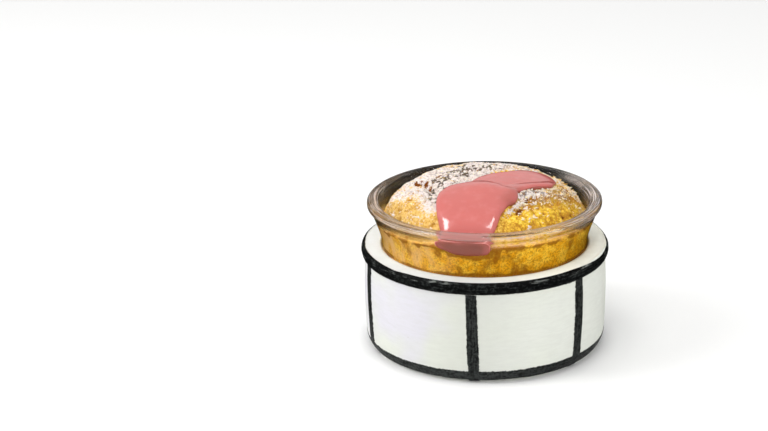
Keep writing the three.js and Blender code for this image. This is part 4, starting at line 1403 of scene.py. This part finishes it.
def sauce_fields(crust, points, normals):
    """Fields of the sauce's deeper tones, from each point's place, height and facing.

    pressed marks the tongue against the glass, deeper there partly as painted shade, and rim a painted
    highlight along its edge; low paints shade at the pools' foot, on their far side and in a hollow by
    the right hump.
    """
    x, y, z = points.T
    out = np.hypot(x, y)
    over = out - glass_inner(z)
    turn = np.degrees(np.arctan2(x, -y)) * DEGREE_SPAN
    edge = tongue_curve(np.linspace(0, 1, 160))
    edge[:, 1] -= 2.5 * ease(54, 52, edge[:, 1])
    inside = path_distance(turn, z, edge) * inside_outline(turn, z, edge[:-1])
    at_glass = ease(-0.5, -0.1, over)
    depth_in = ease(0.3, 3.8, inside + 0.9 * soft_noise(points * (1, 1, 0.8), 3.2, 62))
    run = np.interp(out, crust.radius, crust.run)
    scale = run / np.maximum(out, 1e-6)
    flat_x, flat_y = x * scale, y * scale
    base = np.interp(run, crust.run, crust.height) + crust.level(flat_x, flat_y)
    # Painted shade on the pools' far side, at their foot and in a hollow by the right hump.
    far_side_shade = ease(0.14, 0.32, normals[:, 1]) * ease(17, 12.5, flat_x)
    low = np.maximum(ease(1.0, 0.3, z - base), far_side_shade) * (run < 36)
    shaded_hollow = bell(path_distance(flat_x, flat_y, SHADED_SAUCE_PATH), 3.2)
    return {
        "low": np.maximum(low, 0.75 * shaded_hollow * (over < -0.5)),
        # Painted highlight along the tongue's edge.
        "rim": at_glass * (inside > -0.2) * ease(0.6, 0.2, inside),
        # The tongue against the glass: partly its deeper colour, partly painted shade.
        "pressed": at_glass * ease(0.15, 0.6, inside) * mix(0.45, 1.0, depth_in),
    }


def build_sauce(crust, sizes, colours):
    """The sauce: pools and tongue as closed shells, joined on a fine grid and drawn smooth."""
    shells = [
        pool_shell(crust, FRONT_POOL, sizes.front_depth / MM),
        pool_shell(crust, BACK_POOL, sizes.back_depth / MM),
        tongue_shell(sizes.glass_reach / MM),
    ]
    sauce = join_shells(shells, sizes.voxel)
    points = read_rows(sauce.data.vertices, "co") / MM
    normals = read_rows(sauce.data.vertex_normals, "vector")
    write_fields(sauce.data, sauce_fields(crust, points, normals))
    return finish_piece(sauce, "sauce", cream_sauce(colours))


def icosahedron():
    """Points and faces of a regular icosahedron, from three golden rectangles."""
    g = (1 + math.sqrt(5)) / 2
    points = np.array([
        (-1, g, 0), (1, g, 0), (-1, -g, 0), (1, -g, 0), (0, -1, g), (0, 1, g),
        (0, -1, -g), (0, 1, -g), (g, 0, -1), (g, 0, 1), (-g, 0, -1), (-g, 0, 1),
    ])
    faces = np.array([
        (0, 11, 5), (0, 5, 1), (0, 1, 7), (0, 7, 10), (0, 10, 11), (1, 5, 9), (5, 11, 4),
        (11, 10, 2), (10, 7, 6), (7, 1, 8), (3, 9, 4), (3, 4, 2), (3, 2, 6), (3, 6, 8),
        (3, 8, 9), (4, 9, 5), (2, 4, 11), (6, 2, 10), (8, 6, 7), (9, 8, 1),
    ])
    return points / math.hypot(1, g), faces


def strewn_places(crust, draw, count, falls, base):
    """Random places on the crust outside the pools, kept with the chance that the falls give."""
    run = (crust.crown + 0.6) * np.sqrt(draw.random(count))
    turn = 360 * draw.random(count)
    x, y = level_place(turn, run)
    fall = fall_at(x, y, falls)
    kept = draw.random(count) < base + fall
    for pool in (FRONT_POOL, BACK_POOL):
        kept &= ~inside_outline(x, y, closed_curve(pool[1], np.linspace(0, 1, 120, endpoint=False)))
    return run[kept], turn[kept], fall[kept]


def strewn_mesh(name, crust, draw, run, turn, size, stretch, fields):
    """One mesh of jittered icosahedra, each stretched, spun and half sunk at its place."""
    fine = crust.hollows(*level_place(turn, run))[0]
    places = crust.points(
        turn, run, -0.1 * size, lambda a, b: crust.broad(a, b) + crust.lumps(a, b), fine
    )
    points, faces = icosahedron()
    count, corners = len(size), len(points)
    shape = points[None] * np.clip(1 + 0.3 * draw.normal(size=(count, corners, 1)), 0.35, 1.7)
    shape = shape * mix(np.array(stretch[0]), np.array(stretch[1]), draw.random((count, 1, 3)))
    q = draw.normal(size=(count, 4)) * (1, 0.16, 0.16, 1)
    a, b, c, d = (q / np.linalg.norm(q, axis=1, keepdims=True)).T
    spin = np.stack([
        1 - 2 * (c * c + d * d), 2 * (b * c - a * d), 2 * (b * d + a * c),
        2 * (b * c + a * d), 1 - 2 * (b * b + d * d), 2 * (c * d - a * b),
        2 * (b * d - a * c), 2 * (c * d + a * b), 1 - 2 * (b * b + c * c),
    ], axis=-1).reshape(-1, 3, 3)
    grains = np.einsum("nij,nkj->nki", spin, shape) * size[:, None, None] + places[:, None]
    all_faces = faces[None] + corners * np.arange(count)[:, None, None]
    fields = {key: np.repeat(values, corners) for key, values in fields.items()}
    return mesh_object(
        name, grains.reshape(-1, 3), all_faces.ravel(), np.full(all_faces.size // 3, 3), fields
    )


def build_sugar(crust, sizes, colours):
    """Icing sugar: small jittered grains where sugar falls, joined in one mesh."""
    draw = np.random.default_rng(sizes.seed)
    run, turn, _ = strewn_places(crust, draw, sizes.grain_count, SUGAR_FALL, 0.004)
    size = mix(sizes.smallest / MM, sizes.largest / MM, draw.random(len(run)) ** 2.5)
    sugar = strewn_mesh(
        "icing_sugar", crust, draw, run, turn, size, GRAIN_STRETCH, {"cream": draw.random(len(run)) ** 3}
    )
    return finish_piece(sugar, None, sugar_grain(colours))


def build_crumbs(crust, sizes, colours):
    """Crusty crumbs: long jittered clumps that stand up from the crust, joined in one mesh."""
    draw = np.random.default_rng(sizes.seed + 1)
    run, turn, fall = strewn_places(crust, draw, sizes.crumb_count, CRUMB_FALL, 0.015)
    x, y = level_place(turn, run)
    size = mix(SMALLEST_CRUMB, sizes.crumb_size / MM, draw.random(len(run)) ** 1.6)
    tone = 0.76 * draw.random(len(run)) + 0.6 * fall + 0.5 * ease(26, 16, x) * ease(-8, -12, y)
    crumbs = strewn_mesh("crust_crumbs", crust, draw, run, turn, size, CRUMB_STRETCH, {"cream": tone})
    return finish_piece(crumbs, None, crumb_grain(colours))


# ---- Stage ----


def add_light(name, place, size, power, lights, along):
    """A soft rectangular light at a place, turned to the dessert, its long side along a direction.

    lights: whether matt surfaces and glossy ones see it.
    """
    lamp = bpy.data.lights.new(name, "AREA")
    lamp.shape, lamp.size, lamp.size_y = "RECTANGLE", *size
    lamp.energy = power
    light = bpy.data.objects.new(name, lamp)
    light.visible_diffuse, light.visible_glossy = lights
    back = (Vector(place) - Vector(LIGHT_AIM)).normalized()
    side = Vector(along).cross(back).normalized()
    turn = Matrix((side, back.cross(side), back)).transposed().to_4x4()
    light.matrix_world = Matrix.Translation(place) @ turn
    bpy.context.scene.collection.objects.link(light)


def bent_card(name, turns, profile, material):
    """A card bent round the upright axis: its section's straight runs carried between two angles."""
    turn = np.linspace(*turns, CARD_COLUMNS)
    points = np.stack([polar(turn, r, z + 0 * turn) for r, z in profile])
    index = np.arange(CARD_COLUMNS * len(profile)).reshape(-1, CARD_COLUMNS)
    quads = np.stack([index[:-1, :-1], index[:-1, 1:], index[1:, 1:], index[1:, :-1]], axis=-1)
    card = mesh_object(name, points.reshape(-1, 3), quads.ravel(), np.full(quads.size // 4, 4))
    card.data.materials.append(material)
    card.visible_camera = card.visible_diffuse = card.visible_shadow = False
    return card


def build_stage(colours):
    """Pale floor, pale surroundings, soft lights, and black cards that only glass and gloss show."""
    square = np.array([(-1, -1, 0), (1, -1, 0), (1, 1, 0), (-1, 1, 0)]) * FLOOR_HALF
    floor = mesh_object("table_top", square, np.arange(4), np.array([4]))
    floor.data.materials.append(plain_table(colours))
    black = black_card()
    rear, low_rear, front, ring = (bent_card(name, turns, profile, black) for name, turns, profile in CARDS)
    ring.visible_transmission = low_rear.visible_transmission = front.visible_transmission = False
    rear.visible_glossy = False
    world = bpy.data.worlds.new("pale_surroundings")
    world.use_nodes = True
    background = world.node_tree.nodes["Background"].inputs
    background["Color"].default_value = (1, 1, 1, 1)
    background["Strength"].default_value = SURROUNDINGS
    bpy.context.scene.world = world
    for light in LIGHTS:
        add_light(*light)
    bpy.context.scene.view_settings.view_transform = "Standard"


def build_camera():
    """The camera: its place, and its turn from pitch, yaw and roll."""
    pitch, yaw, roll = (math.radians(angle) for angle in CAMERA_TURN)
    forward = Vector((-math.sin(yaw) * math.cos(pitch), math.cos(yaw) * math.cos(pitch), -math.sin(pitch)))
    level = Vector((math.cos(yaw), math.sin(yaw), 0))
    upright = level.cross(forward)
    right = level * math.cos(roll) + upright * math.sin(roll)
    up = upright * math.cos(roll) - level * math.sin(roll)
    lens = bpy.data.cameras.new("camera")
    lens.sensor_width, lens.lens = 36.0, CAMERA_LENS
    lens.clip_start, lens.clip_end = 0.05, 30.0
    camera = bpy.data.objects.new("camera", lens)
    turn = Matrix((right, up, -forward)).transposed().to_4x4()
    camera.matrix_world = Matrix.Translation(CAMERA_PLACE) @ turn
    bpy.context.scene.collection.objects.link(camera)
    bpy.context.scene.camera = camera


# ---- Operators ----


class SOUFFLE_OT_stage(bpy.types.Operator):
    """Make the floor, the lights and the camera"""

    bl_idname = "souffle.stage"
    bl_label = "Stage"

    def execute(self, context):
        build_stage(context.scene.souffle_colours)
        build_camera()
        return {"FINISHED"}


class SOUFFLE_OT_holder(bpy.types.Operator):
    """Make the painted white holder"""

    bl_idname = "souffle.holder"
    bl_label = "Holder"

    def execute(self, context):
        build_holder(context.scene.souffle_dish, context.scene.souffle_colours)
        return {"FINISHED"}


class SOUFFLE_OT_ramekin(bpy.types.Operator):
    """Make the flared glass ramekin"""

    bl_idname = "souffle.ramekin"
    bl_label = "Ramekin"

    def execute(self, context):
        build_ramekin(context.scene.souffle_dish, context.scene.souffle_colours)
        return {"FINISHED"}


class SOUFFLE_OT_crumb(bpy.types.Operator):
    """Make the souffle, its crumbs and the icing sugar on it"""

    bl_idname = "souffle.crumb"
    bl_label = "Souffle and sugar"

    def execute(self, context):
        scene = context.scene
        crust = Crust(scene.souffle_crust)
        build_souffle(crust, scene.souffle_colours)
        build_crumbs(crust, scene.souffle_sugar, scene.souffle_colours)
        build_sugar(crust, scene.souffle_sugar, scene.souffle_colours)
        return {"FINISHED"}


class SOUFFLE_OT_sauce(bpy.types.Operator):
    """Make the sauce on the crust and inside the glass"""

    bl_idname = "souffle.sauce"
    bl_label = "Sauce"

    def execute(self, context):
        scene = context.scene
        build_sauce(Crust(scene.souffle_crust), scene.souffle_sauce, scene.souffle_colours)
        return {"FINISHED"}


STEPS = (SOUFFLE_OT_stage, SOUFFLE_OT_holder, SOUFFLE_OT_ramekin, SOUFFLE_OT_crumb, SOUFFLE_OT_sauce)
GROUPS = {
    "souffle_dish": DishSizes,
    "souffle_crust": CrustSizes,
    "souffle_sauce": SauceSizes,
    "souffle_sugar": SugarSizes,
    "souffle_colours": DessertColours,
}


class SOUFFLE_PT_panel(bpy.types.Panel):
    """Sizes, colours and steps of the dessert"""

    bl_label = "Souffle"
    bl_idname = "SOUFFLE_PT_panel"
    bl_space_type = "VIEW_3D"
    bl_region_type = "UI"
    bl_category = "Souffle"

    def draw(self, context):
        for step in STEPS:
            self.layout.operator(step.bl_idname)
        for name, group in GROUPS.items():
            box = self.layout.box()
            for key in group.__annotations__:
                box.prop(getattr(context.scene, name), key)


def register():
    """Registers every class and hangs the property groups on the scene."""
    for group in (*GROUPS.values(), *STEPS, SOUFFLE_PT_panel):
        bpy.utils.register_class(group)
    for name, group in GROUPS.items():
        setattr(bpy.types.Scene, name, PointerProperty(type=group))


def unregister():
    """Takes the property groups off the scene and forgets every class."""
    for name in GROUPS:
        delattr(bpy.types.Scene, name)
    for group in (SOUFFLE_PT_panel, *reversed(STEPS), *reversed(GROUPS.values())):
        bpy.utils.unregister_class(group)


def main():
    """Registers the add-on and makes every piece."""
    register()
    bpy.ops.souffle.stage()
    bpy.ops.souffle.holder()
    bpy.ops.souffle.ramekin()
    bpy.ops.souffle.crumb()
    bpy.ops.souffle.sauce()


if __name__ == "__main__":
    main()
